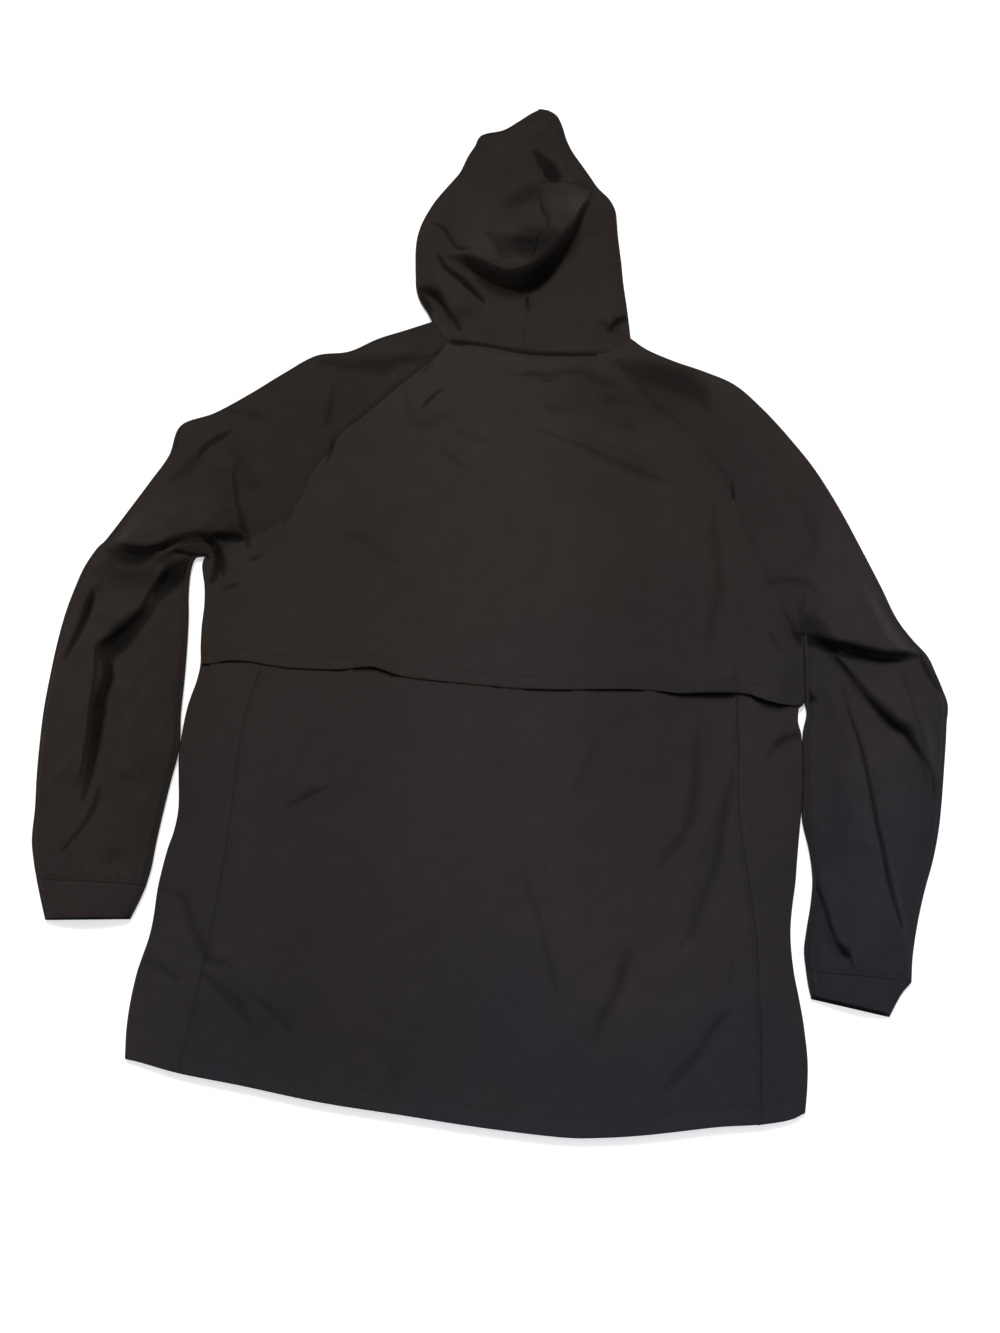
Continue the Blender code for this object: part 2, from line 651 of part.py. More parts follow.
FRONT_TAIL = [0.06, 0.14, 0.25, 0.37, 0.49, 0.61, 0.73, 0.84, 0.93, 1.0]
ZIP_SIDE = [178, 163, 147, 130, 113, 96, 79, 62, 45, 28, 12, -3, -18]


def neckline(start, chin, t):
    """A place on the front neckline from the raglan seam to the chin."""
    point = start + (chin - start) * t
    return point - np.array([0.0, NECK_DIP * 4 * t * (1 - t)])


def front(name, column, body):
    rows = []
    for place in range(UNDERARM + 1 + len(FRONT_TAIL)):
        edge_x = ZIP_X + body * FRONT_EDGE
        if place <= UNDERARM:
            side = raglan(place, 4, body)
            centre = np.array([edge_x, ZIP_SIDE[place]])
            folded = place == UNDERARM
        else:
            share = FRONT_TAIL[place - UNDERARM - 1]
            start = (9.0, -22.0)[column - 1]
            side_end = along(HEM, BODY[-1, column], 1) + 1.5
            y = start + (side_end - start) * share
            side = np.array([along(BODY, y, column), y])
            hem = along(HEM, edge_x, 1) + FRONT_HEM_LIFT
            centre = np.array([edge_x, ZIP_SIDE[-1] + (hem - ZIP_SIDE[-1]) * share])
            folded = True
        inward = unit(centre - side)
        near = side + inward * FOLD
        t = np.linspace(0.0, 1.0, FRONT_COLUMNS + 1)
        plan = near + (centre - near) * t[:, None]
        if place == 0:
            plan = np.array([neckline(near, centre, k) for k in t])
        if place in (1, 2):
            plan[:, 1] -= NECK_DIP * (1 - place / 3) * 4 * t * (1 - t)
        if place > UNDERARM:
            bow = along(HEM, plan[:, 0], 1) + FRONT_HEM_LIFT * (1 - (plan[:, 0] / 316) ** 2)
            chord = near[1] + (centre[1] - near[1]) * t
            full_near = along(HEM, near[0], 1) + 1.5
            full = full_near + (along(HEM, centre[0], 1) + FRONT_HEM_LIFT - full_near) * t
            plan[:, 1] = chord + (bow - full) * share ** 2
        body_part = lower(plan)
        first = edge_down(side, inward, folded)
        rows.append([np.vstack([first[k][:2], body_part[k]]) for k in (0, 1)])
    return cloth(name, rows, NYLON)


front("front_left", 1, -1)
front("front_right", 2, 1)


# ---- hood --------------------------------------------------------------------------
def ring(table, body):
    """The neck seam of one hood half in plan, from the centre back to the chin."""
    out, back, low = table[0, 0:2], table[0, 2:4], table[0, 4:6]
    corner = raglan(0, 2, body)
    inward = unit(np.array([-1.0, (raglan(0, 2, -1)[1] + raglan(0, 2, 1)[1]) / 2]) - corner)
    near = corner + inward * FOLD
    top = near + (np.array([-1.0, near[1]]) - near) * np.linspace(1, 0, CAPE_COLUMNS + 1)[:, None]
    ends = np.interp(top[:, 0], NECK[[0, -1], 0], NECK[[0, -1], 1])
    left, right = raglan(0, 2, -1), raglan(0, 2, 1)
    straight = np.interp(top[:, 0], [left[0], right[0]], [left[1], right[1]])
    top[:, 1] = straight + along(NECK, top[:, 0], 1) - ends
    low_corner = raglan(0, 4, body)
    chin = np.array([ZIP_X + body * FRONT_EDGE, CHIN])
    low_near = low_corner + unit(chin - low_corner) * FOLD
    bottom = np.array([neckline(low_near, chin, t) for t in np.linspace(0, 1, FRONT_COLUMNS + 1)])
    return (np.vstack([top, [back]]), out, np.vstack([[low], bottom]))


def spread_over(path, share):
    """Points of a straight line at the same shares of its length as along a path."""
    return path[0] + (path[-1] - path[0]) * share[:, None]


def hood_half(name, table, body):
    top_ring, out, low_ring = ring(table, body)
    to_back, to_front = unit(top_ring[-1] - out), unit(low_ring[0] - out)
    over = out + to_back * FOLD
    under = out + to_front * FOLD
    top_line = np.vstack([top_ring, between(top_ring[-1], over, HOOD_ROUND - 1), [over]])
    low_line = np.vstack([[under], between(under, low_ring[0], HOOD_ROUND - 1), low_ring])
    rows = []
    for number, row in enumerate(HOOD):
        pair = (row[2:4], row[6:8]) if body < 0 else (row[4:6], row[8:10])
        fold_at, face = pair
        centre = row[0:2] + np.array([body * GAP / 2, 0.0])
        closed = row[10]
        follow = float(smooth(1 - number / 5.0))
        if number == 0:
            plan_top = seam_offset(top_line, body, True)
            plan_top[0] = np.array([centre[0], plan_top[0][1]])
            plan_low = seam_offset(low_line, body, False)
            tip = plan_top[-1] - to_back * FOLD
            toward_top, toward_low = to_back, to_front
        else:
            toward_top, toward_low = unit(centre - fold_at), unit(face - fold_at)
            share = np.linspace(0, 1, len(top_line))
            old = arc_share(top_line)
            start, end = centre, fold_at + toward_top * FOLD
            share = old * follow + share * (1 - follow)
            plan_top = start + (end - start) * share[:, None]
            plan_top += follow * (top_line - spread_over(top_line, old))
            start, end = fold_at + toward_low * FOLD, face
            even = np.linspace(0, 1, len(low_line))
            old = arc_share(low_line)
            share = old * follow + even * (1 - follow)
            plan_low = start + (end - start) * share[:, None]
            plan_low += follow * (low_line - spread_over(low_line, old))
            tip = fold_at
        radius = FOLD * (1 - closed) + (WALL + GAP / 2) * closed
        top = upper(plan_top, plain_height)
        low = lower(plan_low)
        top[0][:, 2] += (MIDDLE + radius - top[0][:, 2]) * closed
        top[1][:, 2] += (MIDDLE + radius - WALL - top[1][:, 2]) * closed
        low[0][:, 2] = low[0][:, 2] * (1 - closed) + (MIDDLE - radius) * closed
        low[1][:, 2] = low[0][:, 2] + WALL
        side_top = turned(tip, toward_top, (45, 0), radius)
        side_low = turned(tip, toward_low, (-45,), radius)
        rows.append([np.vstack([top[k], side_top[k], side_low[k], low[k]]) for k in (0, 1)])
    return cloth(name, rows, NYLON)


def arc_share(path):
    steps = np.linalg.norm(np.diff(path, axis=0), axis=1)
    gone = np.concatenate([[0.0], np.cumsum(steps)])
    return gone / gone[-1]


def seam_offset(path, body, top):
    """The same path moved across itself by the gap of a seam, toward the hood."""
    moved = path.copy()
    for k in range(len(path)):
        before = unit(path[k] - path[k - 1]) if k > 0 else unit(path[1] - path[0])
        after = unit(path[k + 1] - path[k]) if k < len(path) - 1 else before
        turn = body if top else -body
        a = np.array([-before[1], before[0]]) * turn
        b = np.array([-after[1], after[0]]) * turn
        normal = unit(a + b)
        moved[k] = path[k] + normal * GAP / max(float(normal @ a), 0.5)
    return moved


hood_half("hood_left", SLEEVE_LEFT, -1)
hood_half("hood_right", SLEEVE_RIGHT, 1)


# ---- zip ---------------------------------------------------------------------------
def zip_strip():
    """Tape with its closed chain as one strip under the two front edges."""
    low = WALL + GAP
    high = low + TAPE_THICK
    ring_points = [(-TAPE_HALF, low), (-TAPE_HALF, high), (TAPE_HALF, high), (TAPE_HALF, low),
                   (CHAIN_HALF, low), (CHAIN_HALF, CHAIN_LOW), (-CHAIN_HALF, CHAIN_LOW),
                   (-CHAIN_HALF, low)]
    bm = bmesh.new()
    ends = []
    for y in (ZIP_BOTTOM, ZIP_TOP):
        ends.append([bm.verts.new(((ZIP_X + x) * MM, y * MM, z * MM)) for x, z in ring_points])
    count = len(ring_points)
    for k in range(count):
        n = (k + 1) % count
        bm.faces.new((ends[0][k], ends[0][n], ends[1][n], ends[1][k]))
    bm.faces.new(ends[0][::-1])
    bm.faces.new(ends[1])
    bmesh.ops.recalc_face_normals(bm, faces=bm.faces[:])
    return finish("zip", bm, (0.018, 0.017, 0.017), 0.5)


def slider():
    bm = bmesh.new()
    bmesh.ops.create_cube(bm, size=1.0)
    for v in bm.verts:
        taper = 1.0 if v.co.y > 0 else 0.72
        v.co.x = (ZIP_X + v.co.x * 2 * SLIDER_HALF * taper) * MM
        v.co.y = (ZIP_TOP + GAP + (v.co.y + 0.5) * SLIDER_LONG) * MM
        v.co.z = (v.co.z + 0.5) * SLIDER_TALL * MM
    bmesh.ops.bevel(bm, geom=bm.edges[:], offset=0.7 * MM, segments=2, affect="EDGES")
    return finish("zip_slider", bm, (0.02, 0.02, 0.021), 0.4)


zip_strip()
slider()
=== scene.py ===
"""Dresses the windbreaker: fine cloth on the forms of its solids, sewing, zip and looks.

Lengths are millimetres up to the pieces' meshes, in the frame of the part: origin on the
floor, +Y toward the hood, +X toward the right sleeve as it lies, +Z up. LEFT and RIGHT
are the signs of x on the two sides, and the keys of what comes in pairs.
"""
import math

import bmesh
import bpy
import numpy as np
from mathutils import Matrix, Vector, noise
from numpy.linalg import norm


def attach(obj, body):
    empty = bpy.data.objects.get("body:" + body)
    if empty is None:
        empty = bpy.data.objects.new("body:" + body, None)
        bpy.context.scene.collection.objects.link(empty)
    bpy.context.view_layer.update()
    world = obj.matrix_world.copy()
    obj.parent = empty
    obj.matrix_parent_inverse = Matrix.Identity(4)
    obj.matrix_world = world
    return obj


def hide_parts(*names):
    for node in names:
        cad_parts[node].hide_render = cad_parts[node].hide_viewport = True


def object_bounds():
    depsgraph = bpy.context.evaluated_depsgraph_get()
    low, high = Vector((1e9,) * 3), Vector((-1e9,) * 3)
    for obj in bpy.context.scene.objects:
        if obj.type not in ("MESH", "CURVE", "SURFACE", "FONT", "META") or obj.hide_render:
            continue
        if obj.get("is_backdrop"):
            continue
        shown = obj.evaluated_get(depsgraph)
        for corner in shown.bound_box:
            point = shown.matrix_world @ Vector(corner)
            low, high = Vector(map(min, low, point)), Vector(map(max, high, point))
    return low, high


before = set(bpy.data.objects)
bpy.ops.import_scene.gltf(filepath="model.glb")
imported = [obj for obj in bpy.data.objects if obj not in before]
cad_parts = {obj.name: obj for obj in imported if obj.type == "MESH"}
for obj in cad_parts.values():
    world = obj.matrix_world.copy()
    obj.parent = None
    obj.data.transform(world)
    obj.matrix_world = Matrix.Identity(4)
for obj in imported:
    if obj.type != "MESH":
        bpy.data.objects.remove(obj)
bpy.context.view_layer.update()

MM = 0.001
LEFT, RIGHT = -1, 1
SIDE = {LEFT: "left", RIGHT: "right"}
TINY = 1e-9

# ---- cloth -------------------------------------------------------------------
SHELL = 0.55          # thickness of the cloth as it shows
SEAM = 0.06           # between two sewn pieces
CLEAR = 0.03          # between a sleeve and the body beside it
OVERLAP = 0.6         # but just below the armpit the sleeve runs this far into the body
TUCK = 3.6            # how far one piece runs on under its neighbour
TUCK_DEEP = 1.1       # and how far below it
TURN_IN = 14.0        # depth of the cape's hem
DEEP_TURN = 20.0      # depth of the hems at the bottom
HEM_THICK = 0.95      # a hem's two layers
FOLD = 3.0            # outer radius where a layer turns over at the sides
MIDDLE = 3.0          # height of the side seams, half way up the fold
PUFF = 14.0           # air between the layers far from an edge
REACH = 45.0          # how far in from an edge the cloth takes to rise
BLEND = 14.0          # distances to two edges melt into each other over this
FADE = 22.0           # folds die out over this width at the outline
FINE_FADE = 6.0       # and the small relief over this
HEM_RISE = 110.0      # the air thins out over this length above the hem
HEM_AIR = 0.45        # share of the air that is left at the hem
LOWEST = 5.2          # the back layer hardly comes lower than this
LOWEST_SOFT = 0.7     # how softly it is held up there
THINNEST = 1.3        # half the width of the narrowest gap that the rows of cloth can show

# ---- cape over the vented back ----------------------------------------------------
CAPE_STEP = 0.9       # how far the free edge of the cape stands off the panel below
CAPE_GAPE = 0.50      # and how much more for each millimetre of dark gap under it
CAPE_RAMP = 70.0      # length over which it comes away
UNDERLAP = 48.0       # the lower back runs up this far below the cape
UNDER_DROP = 3.0      # and drops by this much at its top
UNDER_START = 20.0    # starting this far below the edge of the cape
UNDER_INSET = 4.5     # there it stays inside the side folds
LOWER_LONG = 392.0    # length of the lower back from the cape to the hem
SIDE_START = -210     # where the search for an end of a row on a side fold starts

# ---- front and zip ------------------------------------------------------------------
ZIP_TOP, ZIP_BOTTOM = 166.0, -494.0
FRONT_EDGE = 4.2      # front panels stop this far from the middle of the zip
FRONT_HEM_LIFT = 14.0  # the front is this much shorter in the middle
FRONT_HALF = 316.0    # half the width of its hem
FRONT_OUT = 1.5       # how far its corners stay above those of the back
NECK_DIP = 9.0        # how far the front neckline sags below a straight line
CHIN = 178.0
HOOD_SHUT = 0.15      # half the gap between the closed edges of the hood's face
HOOD_TIP = (-5, 513.7)
UNDERARM = 12         # the row of both sleeve tables that lies at the underarm


# ---- tables and curves through them ----------------------------------------------------
def smooth(value):
    t = np.clip(value, 0.0, 1.0)
    return t * t * (3.0 - 2.0 * t)


def row_of(table, place):
    """A row of a table at a place between its rows, on a smooth curve through them."""
    low = int(min(max(math.floor(place), 0), len(table) - 2))
    t = place - low
    b, c = table[low], table[low + 1]
    a = table[low - 1] if low > 0 else 2 * b - c
    d = table[low + 2] if low + 2 < len(table) else 2 * c - b
    return 0.5 * (2 * b + (c - a) * t + (2 * a - 5 * b + 4 * c - d) * t ** 2
                  + (3 * b - a - 3 * c + d) * t ** 3)


def fine(table, columns=slice(None), first=0, step=0.25):
    """The same table with more rows, on smooth curves."""
    table = np.asarray(table, float)
    places = np.arange(first, len(table) - 1 + 1e-6, step)
    return np.array([row_of(table, place)[columns] for place in places])


def along(table, key, value):
    """A column of a table with its first column as the key."""
    order = np.argsort(table[:, 0])
    return np.interp(key, table[order, 0], table[order, value])


def gone_along(path):
    """How far along a path each of its points lies."""
    return np.concatenate([[0.0], np.cumsum(norm(np.diff(path, axis=0), axis=1))])


def numbers(text):
    """Rows of numbers, with a comma between two rows."""
    return [[float(item) for item in row.split()] for row in text.split(",")]


def sleeve_table(text):
    """Rows of four numbers have their front seam on the back seam."""
    return np.array([(row + row[2:])[:6] for row in numbers(text)])


def placed_paths(text):
    """Rows of values and a path, as "values: point, point; values: point, point;"."""
    rows = [row.split(":") for row in text.split(";")[:-1]]
    return [(*map(float, head.split()), fine(numbers(path), step=0.34)) for head, path in rows]


# Sleeves from neck to cuff: outer fold x, y; back seam x, y; front seam x, y.
# From the underarm on, back and front seams are the one underarm seam.
OUT, BACK, FRONT = slice(0, 2), slice(2, 4), slice(4, 6)
SLEEVE = {LEFT: sleeve_table("""
    -97 272 -78 250 -62 226, -122 261 -92 230 -80 209, -150 249 -112 208 -100 189,
    -178 233 -134 185 -121 168, -210 226 -155 162 -141 147, -240 205 -173 143 -160 127,
    -272 180 -187 120 -177 106, -305 157 -199 98 -191 85, -337 141 -207 74 -205 64,
    -345 109 -220 52 -221 46, -360 81 -241 35 -241 31, -378 49 -269 20 -269 18, -396 18 -297.5 9,
    -404 8 -306 6, -414 -12 -309 -8, -421 -36 -308.5 -30, -426.5 -61 -305.5 -56,
    -430.5 -92 -303.5 -86, -433 -125 -302.3 -118, -434.5 -157 -301.8 -150,
    -434 -190 -299.3 -182 -301.5 -182, -432.5 -222 -303.5 -215, -430 -252 -307.5 -248,
    -429 -281 -310.5 -278, -424.5 -302 -312 -299, -419 -320 -315 -317
"""), RIGHT: sleeve_table("""
    104 271 86 254 66 228, 122 260 100 233 84 211, 150 250 118 213 104 191,
    181 241.5 139 195 125 170, 212 230 160 176 147 149, 241 207 182 155 168 128,
    269 179 200 136 187 107, 296 148 213 114 204 85, 322 110 223 87 220 62, 345 71 235 60 235 40,
    366 34 249 33 251 20, 382 4 270 6 272 -1, 398 -16 292.3 -22, 414 -32 292.2 -31 297 -31,
    423 -49 293 -45 297.5 -45, 429.5 -63 293 -60 297.5 -60, 435.5 -79 292.5 -78 298.5 -77,
    435 -97 299.5 -97 299.8 -97, 434.8 -116 297 -118 298 -118, 434 -142 298 -144 300.5 -144,
    433 -170 299 -172 301.5 -172, 431 -200 300.5 -202 303.5 -202, 426.5 -230 308.5 -231,
    420 -258 313 -257, 415 -285 312.5 -281, 412 -308 310 -304, 410.5 -327 308.5 -325,
    410.5 -346 311.5 -345
""")}

# Cuffs: outer fold x, y; underarm seam x, y.
CUFF = {LEFT: np.array(numbers("""
    -419 -320.3 -315 -317.3, -413 -337.5 -320 -333, -406 -356.5 -326 -349
""")), RIGHT: np.array(numbers("""
    410.5 -346.3 311.5 -345.3, 401 -359 314 -357, 391 -380 317.5 -369.5
"""))}

# Body below the underarms: height y, side folds at x left and x right.
BODY = fine(numbers("""
    9 -297.5 293, 0 -299 293, -10 -297 293, -22 -294 293, -40 -292 294.5, -60 -292 295.5,
    -78 -291 297, -88 -290 297.4, -94 -289.3 292.3, -102 -289 291.8, -110 -289.8 292.6,
    -118 -291 295.5, -130 -294 297.5, -146 -297 298.7, -172 -299 299.8, -190 -299.3 299.8,
    -210 -297 299, -240 -293.5 298, -262 -295 297.5, -280 -299 296, -300 -302 295, -320 -304 296,
    -345 -304.5 300, -365 -306.5 305, -385 -311 310, -400 -314 313, -425 -316.5 317,
    -450 -317 318, -478 -315 317
"""))
COLUMN = {LEFT: 1, RIGHT: 2}
BODY_TOP = {LEFT: 9.0, RIGHT: -22.0}

# The back hem, x, y.
HEM = fine(numbers("""
    -316 -477, -300 -479, -262 -486, -205 -492, -130 -501, -55 -506, 19 -511, 93 -513.5,
    130 -511, 166 -506, 203 -499, 239 -492, 276 -487, 303 -481, 318 -473
"""))

# The free lower edge of the cape, x, y.
CAPE_EDGE = fine(numbers("""
    -291 -100, -277 -98.5, -267 -96.3, -255 -95, -241 -95, -218 -97.5, -201 -98.5, -175 -97.8,
    -152 -96.5, -136 -93.5, -120 -91.5, -109 -94, -97 -97.2, -85 -98.5, -74 -99.2, -47 -99.8,
    0 -100.5, 22 -100.5, 50 -99.2, 72 -97.5, 109 -94, 139 -91.7, 157 -91.7, 176 -92.5, 195 -89.8,
    214 -88, 229 -86.5, 241 -86.8, 253 -89.5, 263 -92, 277 -93, 292 -92.5
"""))
CAPE_LOW = -98        # about where it meets the side folds

# Places x along that edge, and the width of the dark gap that shows below it; the cape
# stands off the panel by it, and a painted shadow of that width darkens the panel just under
# the edge.
CAPE_GAPS = np.array(numbers("""
    -293 2.5, -280 2.5, -278 .3, -271 .3, -268 1.8, -243 1.8, -241 1.2, -222 1.2, -219 .4,
    -212 .4, -209 1.2, -160 1.3, -155 1.9, -145 1.9, -142 .8, -137 3.5, -121 3.9, -100 3.5,
    -95 1.6, -87 .8, -73 1.2, -51 1.1, -46 .6, -5 .6, -2 1.8, 2 1.8, 5 .6, 22 .8, 29 1.8, 70 1.9,
    74 1.2, 85 1.2, 89 1.9, 100 2.7, 138 2.5, 142 .8, 153 1, 158 2.5, 170 3.9, 191 5.7, 209 7.1,
    226 6, 230 1.8, 243 2.5, 249 5.3, 260 7.8, 272 6.7, 279 3, 284 1, 294 1
"""))

# The seam of the hood at the back of the neck, x, y.
NECK = fine(numbers("""
    -78 250, -56 247.6, -30 244.5, -10 242, 14 240.8, 49 243.7, 72 248.3, 86 254
"""))

# The seams beside the lower back, y, x.
SIDE_SEAM = {LEFT: fine(numbers("""
    -480 -263, -440 -257, -400 -252, -340 -246, -290 -243, -230 -241, -165 -240, -130 -235,
    -98 -228, -30 -220
""")), RIGHT: fine(numbers("""
    -480 277, -440 274, -410 272, -370 268, -320 263, -290 257, -255 250, -225 243, -190 238,
    -150 236, -100 232, -30 226
"""))}

# Hood from neck to crown: centre seam x, y; left fold x, y; right fold x, y; left face
# edge x, y; right face edge x, y; how far the layers have closed. In shorter rows the
# face is closed, so its edges lie under the centre seam.
HOOD = np.array([
    row if len(row) > 7 else
    [*row[:6], row[0] - HOOD_SHUT, row[1], row[0] + HOOD_SHUT, row[1], row[6]]
    for row in numbers("""
    -1 241.4 -97 272 104 271 -4.2 178 4.2 178 0, -2 255 -104 283 102.5 280 -14 193 14 193 0,
    -2 270.5 -112 294 100.5 291 -24 213 24 213 0, -3 288 -116.5 306 98 304 -33 238 33 238 0,
    -3 303 -118.5 321 95 318 -40 263 40 263 0, -4 316 -120 335 92 333 -45 290 44 290 0,
    -4 328 -121 349 89.5 349 -48 314 45 314 0, -3 342 -120.5 363 86.5 365 -50 339 45 339 0,
    0 358 -117.5 377 83.5 381 -50 362 44 362 0, 3 374 -112 391 81.5 395 -46 385 41 385 0,
    4 390 -106 403 79 408 -39 404 35 404 0, 3 405 -99 414 72 420 -28 420 26 421 0,
    1 420 -90 427 60 431 -14 431 15 432 0, -1 434 -83 438 50 444 0, -3 448 -77 455 40 457 0,
    -4 462 -71 467 30 470 0, -5 476 -65 480 23 483 0, -5 489 -44 487 19 494 0,
    -5 500 -28 499 15 503 .3, -5 509 -18 507.5 11.5 508.5 .7, -5 513 -12 511.7 7 511.9 .95,
    -5 514.6 -8 514.1 2 514.1 1
""")])
HOOD[0, 1] = along(NECK, HOOD[0, 0], 1)
HOOD_FOLD = {LEFT: slice(2, 4), RIGHT: slice(4, 6)}
HOOD_FACE = {LEFT: slice(6, 8), RIGHT: slice(8, 10)}
CLOSED = 10

# The folds of the laid cloth: height (minus for a trough), width on the left and on the
# right of its path, length of its fading ends, how far its crest leans over its steep
# side, and the path's points x, y.
FOLDS = (
    # left sleeve
    placed_paths("""
    10 32 4 32 3: -404 18, -378 15, -352 13, -332 20, -312 27, -290 32, -262 31;
    5 5 4 8 1.5: -346 -4, -333 8, -315 16, -301 17, -293 8, -289 -8;
    7 4 20 18 2: -322 0, -336 -12, -346 -32, -356 -56, -375 -78, -391 -92, -389 -120, -390 -150,
        -389 -190, -392 -240;
    4 4.5 15 14 0: -281 110, -276 80, -268 52, -257 22;
    -2.5 7 7 8 0: -346 -284, -345 -318;
    4.5 13 13 16 0: -392 -14, -384 -50, -387 -84;
    3 12 12 14 0: -355 -120, -345 -180, -340 -240;
    """)
    # right sleeve
    + placed_paths("""
    13 40 4 12 3.5: 280 -20, 300 -22, 322 -25, 345 -29, 372 -31, 404 -29, 420 -34;
    8 24 4.5 14 1.5: 316 -33, 334 -50, 350 -72, 378 -98, 397 -112, 414 -137, 424 -168;
    5.5 5 22 24 0: 322 -60, 333 -92, 350 -132, 362 -170, 374 -215, 386 -255, 394 -285, 408 -330;
    4.5 12 4 9 0: 311 -256, 320 -276, 330 -300, 336 -316, 353 -332;
    3 12 12 16 0: 330 34, 362 6, 398 -16;
    2.5 12 12 16 0: 330 -140, 345 -200, 352 -250;
    """)
    # the back
    + placed_paths("""
    1.5 12 5 25 0: 36 170, 81 158, 121 144, 150 131;
    1.5 14 6 35 0: 221 86, 221 45, 221 5, 218 -45;
    1.8 6 14 30 0: 216 -187, 209 -225, 203 -254, 198 -281, 190 -312, 180 -331;
    1.3 7 15 22 0: 124 -364, 116 -392, 104 -421;
    1.3 7 15 25 0: 224 -379, 209 -412, 196 -434, 181 -451;
    1.5 10 8 10 0: 258 -112, 274 -110, 291 -108;
    1.3 15 7 30 0: -264 -331, -245 -367, -216 -394, -191 -411, -163 -428;
    1 8 8 35 0: 277 -290, 282 -364, 284 -437;
    1.6 5 4 14 0: 230 -90, 227 -118, 225 -152;
    1.3 6 6 4 0: 81 208, 89 208, 98 208;
    1.6 5 6 14 0: -164 231, -131 234, -94 239;
    1 10 10 12 0: 68 126, 88 122, 111 114;
    1 9 9 30 0: 255 18, 258 -17, 262 -56;
    .9 14 14 30 0: -20 -114, -18 -173, -18 -211;
    .9 16 16 30 0: -64 -412, -55 -457, -52 -484;
    """)
    # hood
    + placed_paths("""
    3 14 14 10 0: -12 350, -8 372;
    27 41 3.5 58 5: -96 342, -66 338, -50 331, -34 324, -22 322, -6 328, 8 342, 18 358, 29 373,
        37 390, 45 408, 58 432;
    6 26 3.5 26 2: -120 306, -105 305, -92 296, -82 286, -75 272, -67 260;
    5 14 3.5 6 1: 82 274, 90 285, 104 291;
    1.6 5 18 12 0: 2 421, 22 424, 48 427;
    3 5 9 10 0: 10 464, 17 452, 22 438, 24 428;
    """)
)
